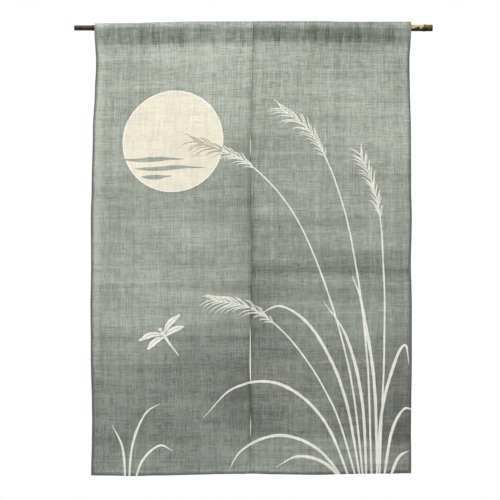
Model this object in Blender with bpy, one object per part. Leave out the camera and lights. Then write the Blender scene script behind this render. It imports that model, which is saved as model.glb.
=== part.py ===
"""A noren: a split door curtain of two hemp panels that hang by a sewn sleeve on a bamboo pole.

Units are metres. X runs along the pole, -Y faces the viewer and +Z is up.
The origin lies on the pole's axis, halfway along it.
Tables give millimetres, because that is how a maker would note them.
"""

import math
from collections import namedtuple

import bmesh
import bpy

MM = 0.001

# The pole is a thin bamboo culm that tapers towards its left end, cut square beside a joint
POLE_LENGTH = 0.950
POLE_RADIUS_LEFT = 0.0068
POLE_RADIUS_RIGHT = 0.0088
POLE_SIDES = 20
JOINT_PLACES = (-0.4250, -0.2620, -0.0980, 0.0700, 0.2600, 0.4520)
JOINT_SWELL = 0.0011
JOINT_HALF_LENGTH = 0.0060

# The curtain is 850 mm wide, and 1200 mm long from the sleeve's top fold to the hem
CURTAIN_WIDTH = 0.850
CURTAIN_LEFT = -0.4305
CURTAIN_RIGHT = CURTAIN_LEFT + CURTAIN_WIDTH
CLOTH = 0.0010
TURNED_CLOTH = 0.0010
BOTTOM_HEM = 0.0260
INNER_HEM = 0.0100
OUTER_HEM = 0.0050
TURNED_EDGE_BELOW_SEAM = 0.0040
HEM_STEP = 0.0010

# How the sleeve lies round the pole
SLEEVE_CLEARANCE = 0.0004
FOLD_RADIUS = 0.0016
SLEEVE_ARC_STEPS = 4
FOLD_ARC_STEPS = 2
APEX_RISE = 0.0010

# Levels that the rows of points are laid out between
HEM_LEVEL = -1.1870
SEAM_LEVEL = -0.0390
ROW_STEP = 0.0420
ROW_CLEARANCE = 0.0140
FOLD_ROW_OFFSETS = (-0.0200, -0.0070, 0.0, 0.0130)
COLUMNS = 10

# The cloth's lines read across the curtain: the top fold, the seam under the sleeve, and the hem
Across = namedtuple("Across", "x fold seam hem")
ACROSS = (
    Across(-425, 12.7, -43.0, -1189.5),
    Across(-322, 13.4, -42.0, -1190.0),
    Across(-258, 15.6, -41.0, -1188.0),
    Across(-162, 17.5, -39.5, -1187.0),
    Across(-35, 17.8, -37.0, -1185.2),
    Across(0, 18.0, -36.0, -1183.6),
    Across(61, 18.4, -36.0, -1184.7),
    Across(188, 18.5, -37.0, -1187.4),
    Across(231, 16.8, -37.0, -1186.3),
    Across(348, 17.0, -37.0, -1183.9),
    Across(420, 16.8, -37.0, -1181.8),
)

# How far the outer edges stray from a straight line, positive to the right
Edge = namedtuple("Edge", "z left right")
EDGES = (
    Edge(20, 10.5, -1.5),
    Edge(-17, 9.0, -1.5),
    Edge(-85, 12.2, -4.8),
    Edge(-166, 9.0, -3.9),
    Edge(-272, 4.0, -1.3),
    Edge(-421, 0.8, -1.0),
    Edge(-506, -1.6, 0.9),
    Edge(-623, -1.1, -1.2),
    Edge(-740, -2.6, 0.9),
    Edge(-888, -1.9, 0.9),
    Edge(-995, 0.9, -0.4),
    Edge(-1040, 1.6, -0.9),
    Edge(-1101, 0.5, -0.9),
    Edge(-1195, -1.0, -1.3),
)

# The line where the panels meet: sewn down to 275 mm below the pole, and from there a slit
Slit = namedtuple("Slit", "z place gap")
SLIT = (
    Slit(20, 0.5, 0.3),
    Slit(-86, -0.8, 0.3),
    Slit(-192, -4.2, 0.3),
    Slit(-275, -7.0, 0.3),
    Slit(-315, -7.4, 1.9),
    Slit(-355, -7.4, 0.3),
    Slit(-484, -7.5, 0.3),
    Slit(-660, -4.4, 0.4),
    Slit(-780, -7.6, 0.3),
    Slit(-820, -8.2, 2.0),
    Slit(-900, -8.6, 3.1),
    Slit(-925, -7.8, 2.8),
    Slit(-950, -7.4, 0.3),
    Slit(-1018, -7.0, 0.3),
    Slit(-1060, -7.3, 1.8),
    Slit(-1105, -7.0, 0.3),
    Slit(-1195, -6.2, 0.3),
)

# Level creases left by the cloth's folding: a trough of that depth, fading over a length above and
# below it, with its strength at the curtain's outer edge and at the slit
Crease = namedtuple("Crease", "panel z depth above below outer inner")
CREASES = (
    Crease("left", -690, 3.5, 45, 16, 0.6, 1.0),
    Crease("left", -825, 3.5, 35, 14, 1.0, 0.9),
    Crease("left", -905, 2.6, 16, 26, 1.0, 0.5),
    Crease("left", -1098, 3.0, 60, 16, 1.0, 0.6),
    Crease("right", -646, 4.0, 55, 12, 1.0, 0.7),
    Crease("right", -825, 1.8, 35, 16, 0.7, 1.0),
    Crease("right", -1085, 7.0, 85, 16, 1.0, 0.35),
)
CREASE_SOFTNESS = 0.0060

# Broad upright waves in each panel: height under the sleeve and at the hem, waves across, phase
Wave = namedtuple("Wave", "panel top hem count phase")
WAVES = (
    Wave("left", 1.0, 4.5, 1.30, 0.20),
    Wave("right", 1.0, 5.0, 1.15, 0.55),
)

# The outer edges curl back below the sleeve
Curl = namedtuple("Curl", "panel depth z length width")
CURLS = (
    Curl("left", 6.0, -105, 95, 45),
    Curl("right", 3.0, -95, 80, 40),
)
SETTLING_LENGTH = 0.0800

HEMP_COLOUR = (0.305, 0.332, 0.287, 1.0)
BAMBOO_COLOUR = (0.127, 0.082, 0.051, 1.0)


def smooth(share):
    """An even S curve from 0 to 1."""
    share = min(1.0, max(0.0, share))
    return share * share * (3.0 - 2.0 * share)


def read(table, key, column, place):
    """A column of a table in millimetres at a place in metres, blended smoothly between its rows."""
    rows = sorted((getattr(row, key) * MM, getattr(row, column) * MM) for row in table)
    if place <= rows[0][0]:
        return rows[0][1]
    for (low, before), (high, after) in zip(rows, rows[1:]):
        if place <= high:
            return before + (after - before) * smooth((place - low) / (high - low))
    return rows[-1][1]


def pole_radius(x):
    """The radius of the culm between its joints."""
    share = x / POLE_LENGTH + 0.5
    return POLE_RADIUS_LEFT + share * (POLE_RADIUS_RIGHT - POLE_RADIUS_LEFT)


def across_panel(side, share, z):
    """The x of a point that lies at a share of the panel's width, counted from its left."""
    half_gap = read(SLIT, "z", "gap", z) / 2.0
    meeting = read(SLIT, "z", "place", z)
    if side == "left":
        start = CURTAIN_LEFT + read(EDGES, "z", "left", z)
        end = meeting - half_gap
    else:
        start = meeting + half_gap
        end = CURTAIN_RIGHT + read(EDGES, "z", "right", z)
    return start + share * (end - start)


def crease_depth(crease, inner_share, z):
    """How far a crease sets the cloth back at a level."""
    away = z - crease.z * MM
    reach = (crease.above if away > 0.0 else crease.below) * MM
    distance = math.hypot(away, CREASE_SOFTNESS) - CREASE_SOFTNESS
    strength = crease.outer + inner_share * (crease.inner - crease.outer)
    return strength * crease.depth * MM * math.exp(-distance / reach)


def hanging_depth(side, share, z, seam):
    """The y of the cloth's middle layer under the sleeve, positive away from the viewer."""
    inner_share = share if side == "left" else 1.0 - share
    depth = 0.0
    for crease in CREASES:
        if crease.panel == side:
            depth += crease_depth(crease, inner_share, z)
    for wave in WAVES:
        if wave.panel == side:
            drop = (seam - z) / (seam - HEM_LEVEL)
            height = (wave.top + drop * (wave.hem - wave.top)) * MM
            depth += height * math.sin(2.0 * math.pi * (wave.count * share + wave.phase))
    for curl in CURLS:
        if curl.panel == side:
            from_edge = inner_share * CURTAIN_WIDTH / 2.0
            bend = max(0.0, 1.0 - from_edge / (curl.width * MM)) ** 2
            level = math.exp(-(((z - curl.z * MM) / (curl.length * MM)) ** 2))
            depth += curl.depth * MM * bend * level
    return depth * smooth((seam - z) / SETTLING_LENGTH)


def sleeve_side(sign, foot, circle, fold_top):
    """One side of the sleeve's middle line, from its foot at the seam up to the top fold.

    It runs straight to the pole, round it, and straight on to the small arc of the fold.
    """
    distance = math.hypot(*foot)
    foot_angle = math.acos(foot[1] / distance)
    low_angle = foot_angle - math.acos(circle / distance)
    fold_centre = fold_top - FOLD_RADIUS
    high_angle = math.acos((circle - FOLD_RADIUS) / fold_centre)
    line = [foot]
    low = (sign * circle * math.sin(low_angle), circle * math.cos(low_angle))
    for share in (0.33, 0.67):
        line.append(tuple(a + share * (b - a) for a, b in zip(foot, low)))
    for step in range(SLEEVE_ARC_STEPS + 1):
        angle = low_angle + (high_angle - low_angle) * step / SLEEVE_ARC_STEPS
        line.append((sign * circle * math.sin(angle), circle * math.cos(angle)))
    for step in range(FOLD_ARC_STEPS):
        angle = high_angle * (1.0 - step / FOLD_ARC_STEPS)
        rise = fold_centre + FOLD_RADIUS * math.cos(angle)
        line.append((sign * FOLD_RADIUS * math.sin(angle), rise))
    return line


def sleeve_line(x, seam):
    """The sleeve's middle line in the YZ plane, from the seam up the front and down the back."""
    circle = pole_radius(x) + JOINT_SWELL + SLEEVE_CLEARANCE + CLOTH / 2.0
    fold_top = read(ACROSS, "x", "fold", x) - CLOTH / 2.0
    front = sleeve_side(-1.0, (0.0, seam), circle, fold_top)
    back = sleeve_side(1.0, (TURNED_CLOTH, seam), circle, fold_top)
    return front + [(0.0, fold_top)] + back[::-1]


def offset_line(line, distance):
    """The inner points of a line moved sideways, to the left of its direction where positive."""
    moved = []
    for before, point, after in zip(line, line[1:], line[2:]):
        along = (after[0] - before[0], after[1] - before[1])
        length = math.hypot(*along)
        normal = (-along[1] / length, along[0] / length)
        moved.append((point[0] + distance * normal[0], point[1] + distance * normal[1]))
    return moved


def row_levels():
    """The levels of the rows below the sleeve, as shares from the hem up to the seam."""
    levels = [
        HEM_LEVEL,
        HEM_LEVEL + BOTTOM_HEM,
        HEM_LEVEL + BOTTOM_HEM + HEM_STEP,
        SEAM_LEVEL - TURNED_EDGE_BELOW_SEAM - HEM_STEP,
        SEAM_LEVEL - TURNED_EDGE_BELOW_SEAM,
        SEAM_LEVEL,
    ]
    for crease in CREASES:
        for offset in FOLD_ROW_OFFSETS:
            level = crease.z * MM + offset
            if all(abs(level - other) > HEM_STEP * 3.0 for other in levels):
                levels.append(level)
    count = round((SEAM_LEVEL - HEM_LEVEL) / ROW_STEP)
    for row in range(1, count):
        level = HEM_LEVEL + (SEAM_LEVEL - HEM_LEVEL) * row / count
        if all(abs(level - other) > ROW_CLEARANCE for other in levels):
            levels.append(level)
    return [(level - HEM_LEVEL) / (SEAM_LEVEL - HEM_LEVEL) for level in sorted(levels)]


def column_shares(side):
    """Shares of the panel's width at which its stations stand, with a step at each side hem."""
    panel_width = CURTAIN_WIDTH / 2.0
    left_hem, right_hem = (OUTER_HEM, INNER_HEM) if side == "left" else (INNER_HEM, OUTER_HEM)
    first = (left_hem + HEM_STEP) / panel_width
    last = 1.0 - (right_hem + HEM_STEP) / panel_width
    middle = [first + (last - first) * step / COLUMNS for step in range(COLUMNS + 1)]
    return [0.0, left_hem / panel_width, *middle, 1.0 - right_hem / panel_width, 1.0]


def station(side, share, hemmed, rows):
    """The points of one upright section: front and back of the cloth, and the sleeve's two skins."""
    x_mean = across_panel(side, share, HEM_LEVEL / 2.0)
    seam = read(ACROSS, "x", "seam", x_mean)
    hem = read(ACROSS, "x", "hem", x_mean)
    front, back = [], []
    for row in rows:
        z = hem + row * (seam - hem)
        x = across_panel(side, share, z)
        y = hanging_depth(side, share, z, seam)
        in_bottom_hem = z <= hem + BOTTOM_HEM + HEM_STEP / 2.0
        in_sleeve_edge = z >= seam - TURNED_EDGE_BELOW_SEAM - HEM_STEP / 2.0
        turned = TURNED_CLOTH if hemmed or in_bottom_hem or in_sleeve_edge else 0.0
        front.append((x, y - CLOTH / 2.0, z))
        back.append((x, y + CLOTH / 2.0 + turned, z))
    line = sleeve_line(x_mean, seam)
    outer = [(across_panel(side, share, z), y, z) for y, z in offset_line(line, CLOTH / 2.0)]
    inner = [(across_panel(side, share, z), y, z) for y, z in offset_line(line, -CLOTH / 2.0)]
    apex = (across_panel(side, share, seam), CLOTH / 2.0, seam + APEX_RISE)
    return {"front": front, "back": back, "outer": outer, "inner": inner, "apex": apex}


def add_strip(mesh, chain, next_chain):
    """Faces between two chains of points that match one to one."""
    for a, b, c, d in zip(chain, chain[1:], next_chain[1:], next_chain):
        corners = list(dict.fromkeys((a, b, c, d)))
        if len(corners) > 2:
            mesh.faces.new(corners)


def build_panel(name, side, material):
    """One panel with its sleeve, hems and folds, as a single closed piece of cloth."""
    rows = row_levels()
    shares = column_shares(side)
    hemmed_columns = {0, 1, len(shares) - 2, len(shares) - 1}
    mesh = bmesh.new()
    stations = []
    for index, share in enumerate(shares):
        points = station(side, share, index in hemmed_columns, rows)
        made = {
            part: [mesh.verts.new(point) for point in points[part]]
            for part in ("front", "back", "outer", "inner")
        }
        apex = mesh.verts.new(points["apex"])
        made["skin"] = [made["front"][-1], *made["outer"], made["back"][-1]]
        made["lining"] = [apex, *made["inner"], apex]
        made["apex"] = apex
        stations.append(made)
    for one, two in zip(stations, stations[1:]):
        for part in ("front", "back", "skin", "lining"):
            add_strip(mesh, one[part], two[part])
        add_strip(mesh, [one["front"][0], one["back"][0]], [two["front"][0], two["back"][0]])
    for end in (stations[0], stations[-1]):
        add_strip(mesh, end["front"], end["back"])
        add_strip(mesh, end["skin"], end["lining"])
        mesh.faces.new((end["front"][-1], end["apex"], end["back"][-1]))
    return finish_object(name, mesh, material)


def pole_profile():
    """Half of the pole's lengthwise section: its radius along X, with a swelling at each joint."""
    end = POLE_LENGTH / 2.0
    outline = [(-end, 0.0), (-end, pole_radius(-end))]
    for place in JOINT_PLACES:
        for share, swell in ((-1.0, 0.0), (-0.35, 0.8), (0.0, 1.0), (0.4, 0.55), (1.0, 0.0)):
            x = place + share * JOINT_HALF_LENGTH
            outline.append((x, pole_radius(x) + swell * JOINT_SWELL))
    outline += [(end, pole_radius(end)), (end, 0.0)]
    return outline


def build_pole(name, material):
    """The bamboo pole, turned about its own axis."""
    mesh = bmesh.new()
    profile = [mesh.verts.new((x, 0.0, radius)) for x, radius in pole_profile()]
    edges = [mesh.edges.new(pair) for pair in zip(profile, profile[1:])]
    bmesh.ops.spin(
        mesh,
        geom=profile + edges,
        axis=(1.0, 0.0, 0.0),
        cent=(0.0, 0.0, 0.0),
        angle=2.0 * math.pi,
        steps=POLE_SIDES,
        use_duplicate=False,
    )
    bmesh.ops.remove_doubles(mesh, verts=mesh.verts, dist=1e-6)
    return finish_object(name, mesh, material)


def finish_object(name, mesh, material):
    """Turns a working mesh into a named object with outward faces and a material."""
    bmesh.ops.recalc_face_normals(mesh, faces=mesh.faces)
    data = bpy.data.meshes.new(name)
    mesh.to_mesh(data)
    mesh.free()
    data.shade_smooth()
    data.set_sharp_from_angle(angle=math.radians(40.0))
    data.materials.append(material)
    made = bpy.data.objects.new(name, data)
    bpy.context.scene.collection.objects.link(made)
    return made


def plain_material(name, colour, roughness):
    """A plain surface of one colour."""
    material = bpy.data.materials.new(name)
    material.use_nodes = True
    surface = material.node_tree.nodes["Principled BSDF"]
    surface.inputs["Base Color"].default_value = colour
    surface.inputs["Roughness"].default_value = roughness
    surface.inputs["Metallic"].default_value = 0.0
    return material


def main():
    for old in list(bpy.data.objects):
        bpy.data.objects.remove(old)
    left_hemp = plain_material("hemp_left", HEMP_COLOUR, 0.9)
    right_hemp = plain_material("hemp_right", HEMP_COLOUR, 0.9)
    bamboo = plain_material("smoked_bamboo", BAMBOO_COLOUR, 0.45)
    curtain = bpy.data.objects.new("curtain", None)
    bpy.context.scene.collection.objects.link(curtain)
    pole = build_pole("pole", bamboo)
    panel_left = build_panel("panel_left", "left", left_hemp)
    panel_right = build_panel("panel_right", "right", right_hemp)
    for piece in (pole, panel_left, panel_right):
        piece.parent = curtain


main()
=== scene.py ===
# %% [markdown]
# # A noren on its bamboo pole
#
# A noren is a split curtain that hangs in a doorway. This one is two panels of hand-woven hemp, dyed
# grey-green, with a picture that was kept free of dye by a rice paste drawn on before dyeing. Each panel
# is turned over at the top into a sleeve, and a slim bamboo pole runs through both sleeves.
#
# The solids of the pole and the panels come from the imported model, which is opened first. Everything
# below is dressed around them, in metres: X runs along the pole, -Y faces the viewer and +Z is up. The
# origin lies on the pole's axis, halfway along it.

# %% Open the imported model
import math
import random
from collections import namedtuple

import bpy
import numpy as np
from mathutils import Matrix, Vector
from mathutils.geometry import delaunay_2d_cdt
from mathutils.kdtree import KDTree


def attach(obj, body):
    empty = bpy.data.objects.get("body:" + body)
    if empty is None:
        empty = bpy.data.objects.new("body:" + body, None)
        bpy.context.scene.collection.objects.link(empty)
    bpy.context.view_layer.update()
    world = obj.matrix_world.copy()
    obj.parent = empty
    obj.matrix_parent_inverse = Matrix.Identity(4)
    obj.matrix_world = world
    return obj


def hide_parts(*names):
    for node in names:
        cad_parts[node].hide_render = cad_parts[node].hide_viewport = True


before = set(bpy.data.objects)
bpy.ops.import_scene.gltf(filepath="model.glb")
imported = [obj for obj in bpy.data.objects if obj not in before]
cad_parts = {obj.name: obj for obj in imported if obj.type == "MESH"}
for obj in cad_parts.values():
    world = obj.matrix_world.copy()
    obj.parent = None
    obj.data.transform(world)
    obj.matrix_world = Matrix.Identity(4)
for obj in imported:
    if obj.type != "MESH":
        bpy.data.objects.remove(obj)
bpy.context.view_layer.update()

print("nodes in the packed model:", ", ".join(sorted(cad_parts)))

# %% [markdown]
# ## The camera
#
# The curtain was photographed square on, against plain white, from far enough away that its sides stay
# parallel. An 85 mm lens does the same. The distance follows from the width that the picture has to
# hold, so the size of the curtain in the picture is right without trial and error. Depth of field stays
# off: all of a flat curtain is sharp.

# %% Place the camera
PICTURE_WIDTH = 1.328
PICTURE_CENTRE_X = -0.0090
PICTURE_CENTRE_Z = -0.5898
LENS = 85.0
SENSOR = 36.0

camera_data = bpy.data.cameras.new("front_camera")
camera_data.lens = LENS
camera_data.sensor_width = SENSOR
camera = bpy.data.objects.new("front_camera", camera_data)
camera.location = (PICTURE_CENTRE_X, -PICTURE_WIDTH * LENS / SENSOR, PICTURE_CENTRE_Z)
camera.rotation_euler = (math.radians(90.0), 0.0, 0.0)
bpy.context.scene.collection.objects.link(camera)
bpy.context.scene.camera = camera
print("camera distance in metres:", round(-camera.location.y, 3))

# %% [markdown]
# ## The real sizes
#
# A maker would note a pole and a curtain in millimetres, so the tables do too. The pole tapers a little,
# as a culm of bamboo does. The curtain is 850 mm wide and 1200 mm long. The outer edges of real cloth are
# never quite straight, the line where the panels meet wanders, and the sleeve, its seam and the hem rise
# and fall. Short tables hold those departures, and a smooth blend between their rows gives every point
# in between.

# %% Sizes of the pole and the curtain
MM = 0.001
POLE_LENGTH = 0.950
POLE_RADIUS_LEFT = 0.0068
POLE_RADIUS_RIGHT = 0.0088
JOINT_SWELL = 0.0011
JOINT_PLACES = (-0.4250, -0.2620, -0.0980, 0.0700, 0.2600, 0.4520)

CURTAIN_WIDTH = 0.850
CURTAIN_LEFT = -0.4305
CURTAIN_RIGHT = CURTAIN_LEFT + CURTAIN_WIDTH
MEETING_LINE = -0.0070
HEM_LEVEL = -1.1870
SEAM_LEVEL = -0.0390
BOTTOM_HEM = 0.0260
INNER_HEM = 0.0100
OUTER_HEM = 0.0050
TURNED_EDGE_BELOW_SEAM = 0.0040
SOLID_CLOTH = 0.0010
SLEEVE_CLEARANCE = 0.0004
FOLD_RADIUS = 0.0016

Across = namedtuple("Across", "x fold seam hem")
ACROSS = (
    Across(-425, 12.7, -43.0, -1189.5),
    Across(-322, 13.4, -42.0, -1190.0),
    Across(-258, 15.6, -41.0, -1188.0),
    Across(-162, 17.5, -39.5, -1187.0),
    Across(-35, 17.8, -37.0, -1185.2),
    Across(0, 18.0, -36.0, -1183.6),
    Across(61, 18.4, -36.0, -1184.7),
    Across(188, 18.5, -37.0, -1187.4),
    Across(231, 16.8, -37.0, -1186.3),
    Across(348, 17.0, -37.0, -1183.9),
    Across(420, 16.8, -37.0, -1181.8),
)

Edge = namedtuple("Edge", "z left right")
EDGES = (
    Edge(20, 10.5, -1.5),
    Edge(-17, 9.0, -1.5),
    Edge(-85, 12.2, -4.8),
    Edge(-166, 9.0, -3.9),
    Edge(-272, 4.0, -1.3),
    Edge(-421, 0.8, -1.0),
    Edge(-506, -1.6, 0.9),
    Edge(-623, -1.1, -1.2),
    Edge(-740, -2.6, 0.9),
    Edge(-888, -1.9, 0.9),
    Edge(-995, 0.9, -0.4),
    Edge(-1040, 1.6, -0.9),
    Edge(-1101, 0.5, -0.9),
    Edge(-1195, -1.0, -1.3),
)

Slit = namedtuple("Slit", "z place gap")
SLIT = (
    Slit(20, 0.5, 0.3),
    Slit(-86, -0.8, 0.3),
    Slit(-192, -4.2, 0.3),
    Slit(-275, -7.0, 0.3),
    Slit(-315, -7.4, 1.9),
    Slit(-355, -7.4, 0.3),
    Slit(-484, -7.5, 0.3),
    Slit(-660, -4.4, 0.4),
    Slit(-780, -7.6, 0.3),
    Slit(-820, -8.2, 2.0),
    Slit(-900, -8.6, 3.1),
    Slit(-925, -7.8, 2.8),
    Slit(-950, -7.4, 0.3),
    Slit(-1018, -7.0, 0.3),
    Slit(-1060, -7.3, 1.8),
    Slit(-1105, -7.0, 0.3),
    Slit(-1195, -6.2, 0.3),
)


def smooth(share):
    """An even S curve from 0 to 1."""
    share = np.clip(share, 0.0, 1.0)
    return share * share * (3.0 - 2.0 * share)


def read(table, key, column, place):
    """A column of a table in millimetres at places in metres, blended smoothly between its rows."""
    rows = sorted((getattr(row, key) * MM, getattr(row, column) * MM) for row in table)
    keys, values = np.array(rows).T
    place = np.clip(place, keys[0], keys[-1])
    after = np.clip(np.searchsorted(keys, place), 1, len(keys) - 1)
    share = (place - keys[after - 1]) / (keys[after] - keys[after - 1])
    return values[after - 1] + (values[after] - values[after - 1]) * smooth(share)


tallest = max(row.fold - row.hem for row in ACROSS)
print("curtain, mm:", round(CURTAIN_WIDTH / MM), "wide,", round(tallest), "long at most")

# %% [markdown]
# ## The folds of the cloth
#
# The curtain was folded flat for a long time, so level creases cross it. Seen close, a crease is a
# shallow trough: the cloth above it leans back into it slowly and comes out again quickly. Each crease
# is a row of a table with its depth, how far it fades above and below, and how strong it is at the outer
# edge and at the slit. The last two columns say how dark the painted shade along the crease is and how
# far it reaches. A second table holds places beside the slit with painted shade, or painted light where
# the tone is below 0. Broad upright waves and the curl of the outer edges are added. A cloth simulation
# would drape the panels too, but it would not put the creases where they are, so they are placed one by one.

# %% The depth of the hanging cloth
Crease = namedtuple("Crease", "panel z depth above below outer inner mark reach")
CREASES = (
    Crease("left", -690, 3.5, 45, 16, 0.6, 1.0, 0.8, 5),
    Crease("left", -825, 3.5, 35, 14, 1.0, 0.9, 1.0, 9),
    Crease("left", -905, 2.6, 16, 26, 1.0, 0.5, 0.7, 9),
    Crease("left", -1098, 3.0, 60, 16, 1.0, 0.6, 0.6, 12),
    Crease("right", -646, 4.0, 55, 12, 1.0, 0.7, 1.2, 14),
    Crease("right", -825, 1.8, 35, 16, 0.7, 1.0, 0.6, 8),
    Crease("right", -1085, 7.0, 85, 16, 1.0, 0.35, 1.6, 18),
)
CREASE_SOFTNESS = 0.0060

# Beside the slit: painted light above the left panel's first crease (tone below 0) and painted shade below
# it.
PaintedLightShade = namedtuple("PaintedLightShade", "panel z reach tone")
PAINTED_LIGHT_SHADE = (
    PaintedLightShade("left", -654, 22, -0.80),
    PaintedLightShade("left", -699, 14, 0.75),
)
PAINTED_LIGHT_SHADE_START = 0.55

Wave = namedtuple("Wave", "panel top hem count phase")
WAVES = (
    Wave("left", 1.0, 4.5, 1.30, 0.20),
    Wave("right", 1.0, 5.0, 1.15, 0.55),
)

Curl = namedtuple("Curl", "panel depth z length width")
CURLS = (
    Curl("left", 6.0, -105, 95, 45),
    Curl("right", 3.0, -95, 80, 40),
)
SETTLING_LENGTH = 0.0800


def crease_depth(crease, inner_share, z):
    """How far a crease sets the cloth back at a level."""
    away = z - crease.z * MM
    reach = np.where(away > 0.0, crease.above, crease.below) * MM
    distance = np.hypot(away, CREASE_SOFTNESS) - CREASE_SOFTNESS
    strength = crease.outer + inner_share * (crease.inner - crease.outer)
    return strength * crease.depth * MM * np.exp(-distance / reach)


def hanging_depth(side, share, z, seam):
    """The y of the cloth under the sleeve, positive away from the viewer."""
    inner_share = share if side == "left" else 1.0 - share
    depth = np.zeros_like(z)
    for crease in CREASES:
        if crease.panel == side:
            depth += crease_depth(crease, inner_share, z)
    for wave in WAVES:
        if wave.panel == side:
            drop = (seam - z) / (seam - HEM_LEVEL)
            height = (wave.top + drop * (wave.hem - wave.top)) * MM
            depth += height * np.sin(2.0 * math.pi * (wave.count * share + wave.phase))
    for curl in CURLS:
        if curl.panel == side:
            from_edge = inner_share * CURTAIN_WIDTH / 2.0
            bend = np.clip(1.0 - from_edge / (curl.width * MM), 0.0, 1.0) ** 2
            level = np.exp(-(((z - curl.z * MM) / (curl.length * MM)) ** 2))
            depth += curl.depth * MM * bend * level
    return depth * smooth((seam - z) / SETTLING_LENGTH)


def crease_light_and_shade(side, share, z):
    """Painted shade along the creases at a place, with painted light (below 0) and painted shade beside the
    slit.
    """
    inner_share = share if side == "left" else 1.0 - share
    line = np.zeros_like(z)
    for crease in CREASES:
        if crease.panel == side:
            strength = crease.outer + inner_share * (crease.inner - crease.outer)
            line += crease.mark * strength * np.exp(-(((z - crease.z * MM) / (crease.reach * MM)) ** 2))
    # Painted light (tone below 0) and painted shade beside the slit.
    for painted_spot in PAINTED_LIGHT_SHADE:
        if painted_spot.panel == side:
            near_slit = smooth((inner_share - PAINTED_LIGHT_SHADE_START) / (1.0 - PAINTED_LIGHT_SHADE_START))
            line += painted_spot.tone * near_slit * np.exp(-(((z - painted_spot.z * MM) / (painted_spot.reach * MM)) ** 2))
    return line


def across_panel(side, share, z):
    """The x of points that lie at a share of the panel's width, counted from its left."""
    half_gap = read(SLIT, "z", "gap", z) / 2.0
    meeting = read(SLIT, "z", "place", z)
    if side == "left":
        start = CURTAIN_LEFT + read(EDGES, "z", "left", z)
        end = meeting - half_gap
    else:
        start = meeting + half_gap
        end = CURTAIN_RIGHT + read(EDGES, "z", "right", z)
    return start + share * (end - start)


print("creases:", len(CREASES), "waves:", len(WAVES), "curled edges:", len(CURLS))

# %% [markdown]
# ## The sleeve
#
# Seen from the side, the sleeve is a long drop: from its seam the cloth runs straight up to the pole,
# lies round it, and goes on to a fold above the pole that was pressed in before the pole was put
# through. The same way leads down at the back. Both ways are a straight leg, an arc on the pole, a
# straight slope and a small arc at the fold, so a point is found by how far it has walked along them.

# %% The way of the cloth round the pole
def pole_radius(x):
    """The radius of the culm between its joints."""
    share = x / POLE_LENGTH + 0.5
    return POLE_RADIUS_LEFT + share * (POLE_RADIUS_RIGHT - POLE_RADIUS_LEFT)


def sleeve_point(x, seam, foot_depth, walked_share):
    """Depth (counted from the pole's axis, without sign) and height after a share of the way up."""
    circle = pole_radius(x) + JOINT_SWELL + SLEEVE_CLEARANCE + SOLID_CLOTH / 2.0
    fold_top = read(ACROSS, "x", "fold", x) - SOLID_CLOTH / 2.0
    foot_distance = np.hypot(foot_depth, seam)
    low = np.arccos(seam / foot_distance) - np.arccos(circle / foot_distance)
    fold_centre = fold_top - FOLD_RADIUS
    high = np.arccos((circle - FOLD_RADIUS) / fold_centre)
    leg = np.sqrt(foot_distance**2 - circle**2)
    slope = np.sqrt(fold_centre**2 - (circle - FOLD_RADIUS) ** 2)
    ends = np.cumsum([leg, circle * (low - high), slope, FOLD_RADIUS * high], axis=0)
    walked = walked_share * ends[3]

    leg_share = walked / leg
    on_leg = (
        foot_depth + leg_share * (circle * np.sin(low) - foot_depth),
        seam + leg_share * (circle * np.cos(low) - seam),
    )
    arc_angle = low - (walked - ends[0]) / circle
    on_arc = (circle * np.sin(arc_angle), circle * np.cos(arc_angle))
    slope_share = (walked - ends[1]) / slope
    slope_start = (circle * np.sin(high), circle * np.cos(high))
    slope_end = (FOLD_RADIUS * np.sin(high), fold_centre + FOLD_RADIUS * np.cos(high))
    on_slope = tuple(a + slope_share * (b - a) for a, b in zip(slope_start, slope_end))
    fold_angle = high - (walked - ends[2]) / FOLD_RADIUS
    on_fold = (FOLD_RADIUS * np.sin(fold_angle), fold_centre + FOLD_RADIUS * np.cos(fold_angle))

    stretch = [walked < ends[0], walked < ends[1], walked < ends[2]]
    depth = np.select(stretch, [on_leg[0], on_arc[0], on_slope[0]], on_fold[0])
    height = np.select(stretch, [on_leg[1], on_arc[1], on_slope[1]], on_fold[1])
    return depth, height


# %% [markdown]
# ## From flat cloth to hanging cloth
#
# A maker cuts a flat length of cloth, turns its sides and ends over and sews them. The code does the
# same. Every point of a panel has a place on the flat cut: `s` metres from its left finished edge and
# `v` metres up from the fold of the bottom hem. Points beyond a finished edge belong to the turned-over
# cloth, so they are mirrored back and set one or more layers behind. One function then carries any flat
# place to its place in space, and the picture, the stitches and the weave can all be laid out flat.

# %% Carry a flat place to its place in space
PANEL_WIDTH = {"left": MEETING_LINE - CURTAIN_LEFT, "right": CURTAIN_RIGHT - MEETING_LINE}
PANEL_START = {"left": CURTAIN_LEFT, "right": MEETING_LINE}
TURNED = {"left": (OUTER_HEM, INNER_HEM), "right": (INNER_HEM, OUTER_HEM)}
CLOTH = 0.00045
LAYER = 0.00055
HEM_LAYERS = 3.0
SLEEVE_FOOT_LAYERS = 2.2
TURN_ROUNDING = 0.0004
SEAM_V = SEAM_LEVEL - HEM_LEVEL
SLEEVE_WAY = 0.1240
TOP_V = SEAM_V + SLEEVE_WAY
END_V = TOP_V + TURNED_EDGE_BELOW_SEAM
PUCKER_HEIGHT = 0.00035
PUCKER_PITCH = 0.0170
PUCKER_REACH = 0.0140
HEM_PUCKER_SHIFT = 0.3
NEAR_HEM_FOLD = 0.0100


def turned_over(distance):
    """From 0 on the front to 1 on the turned-over cloth, with a soft change at the edge."""
    return smooth((distance + 0.001) / 0.002)


def pucker(along, from_line):
    """The small waves that a hand-sewn line draws into the cloth."""
    beat = np.sin(2.0 * math.pi * along / PUCKER_PITCH) + 0.6 * np.sin(along / 0.0091 + 1.0)
    return PUCKER_HEIGHT * beat * np.exp(-np.abs(from_line) / PUCKER_REACH)


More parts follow.
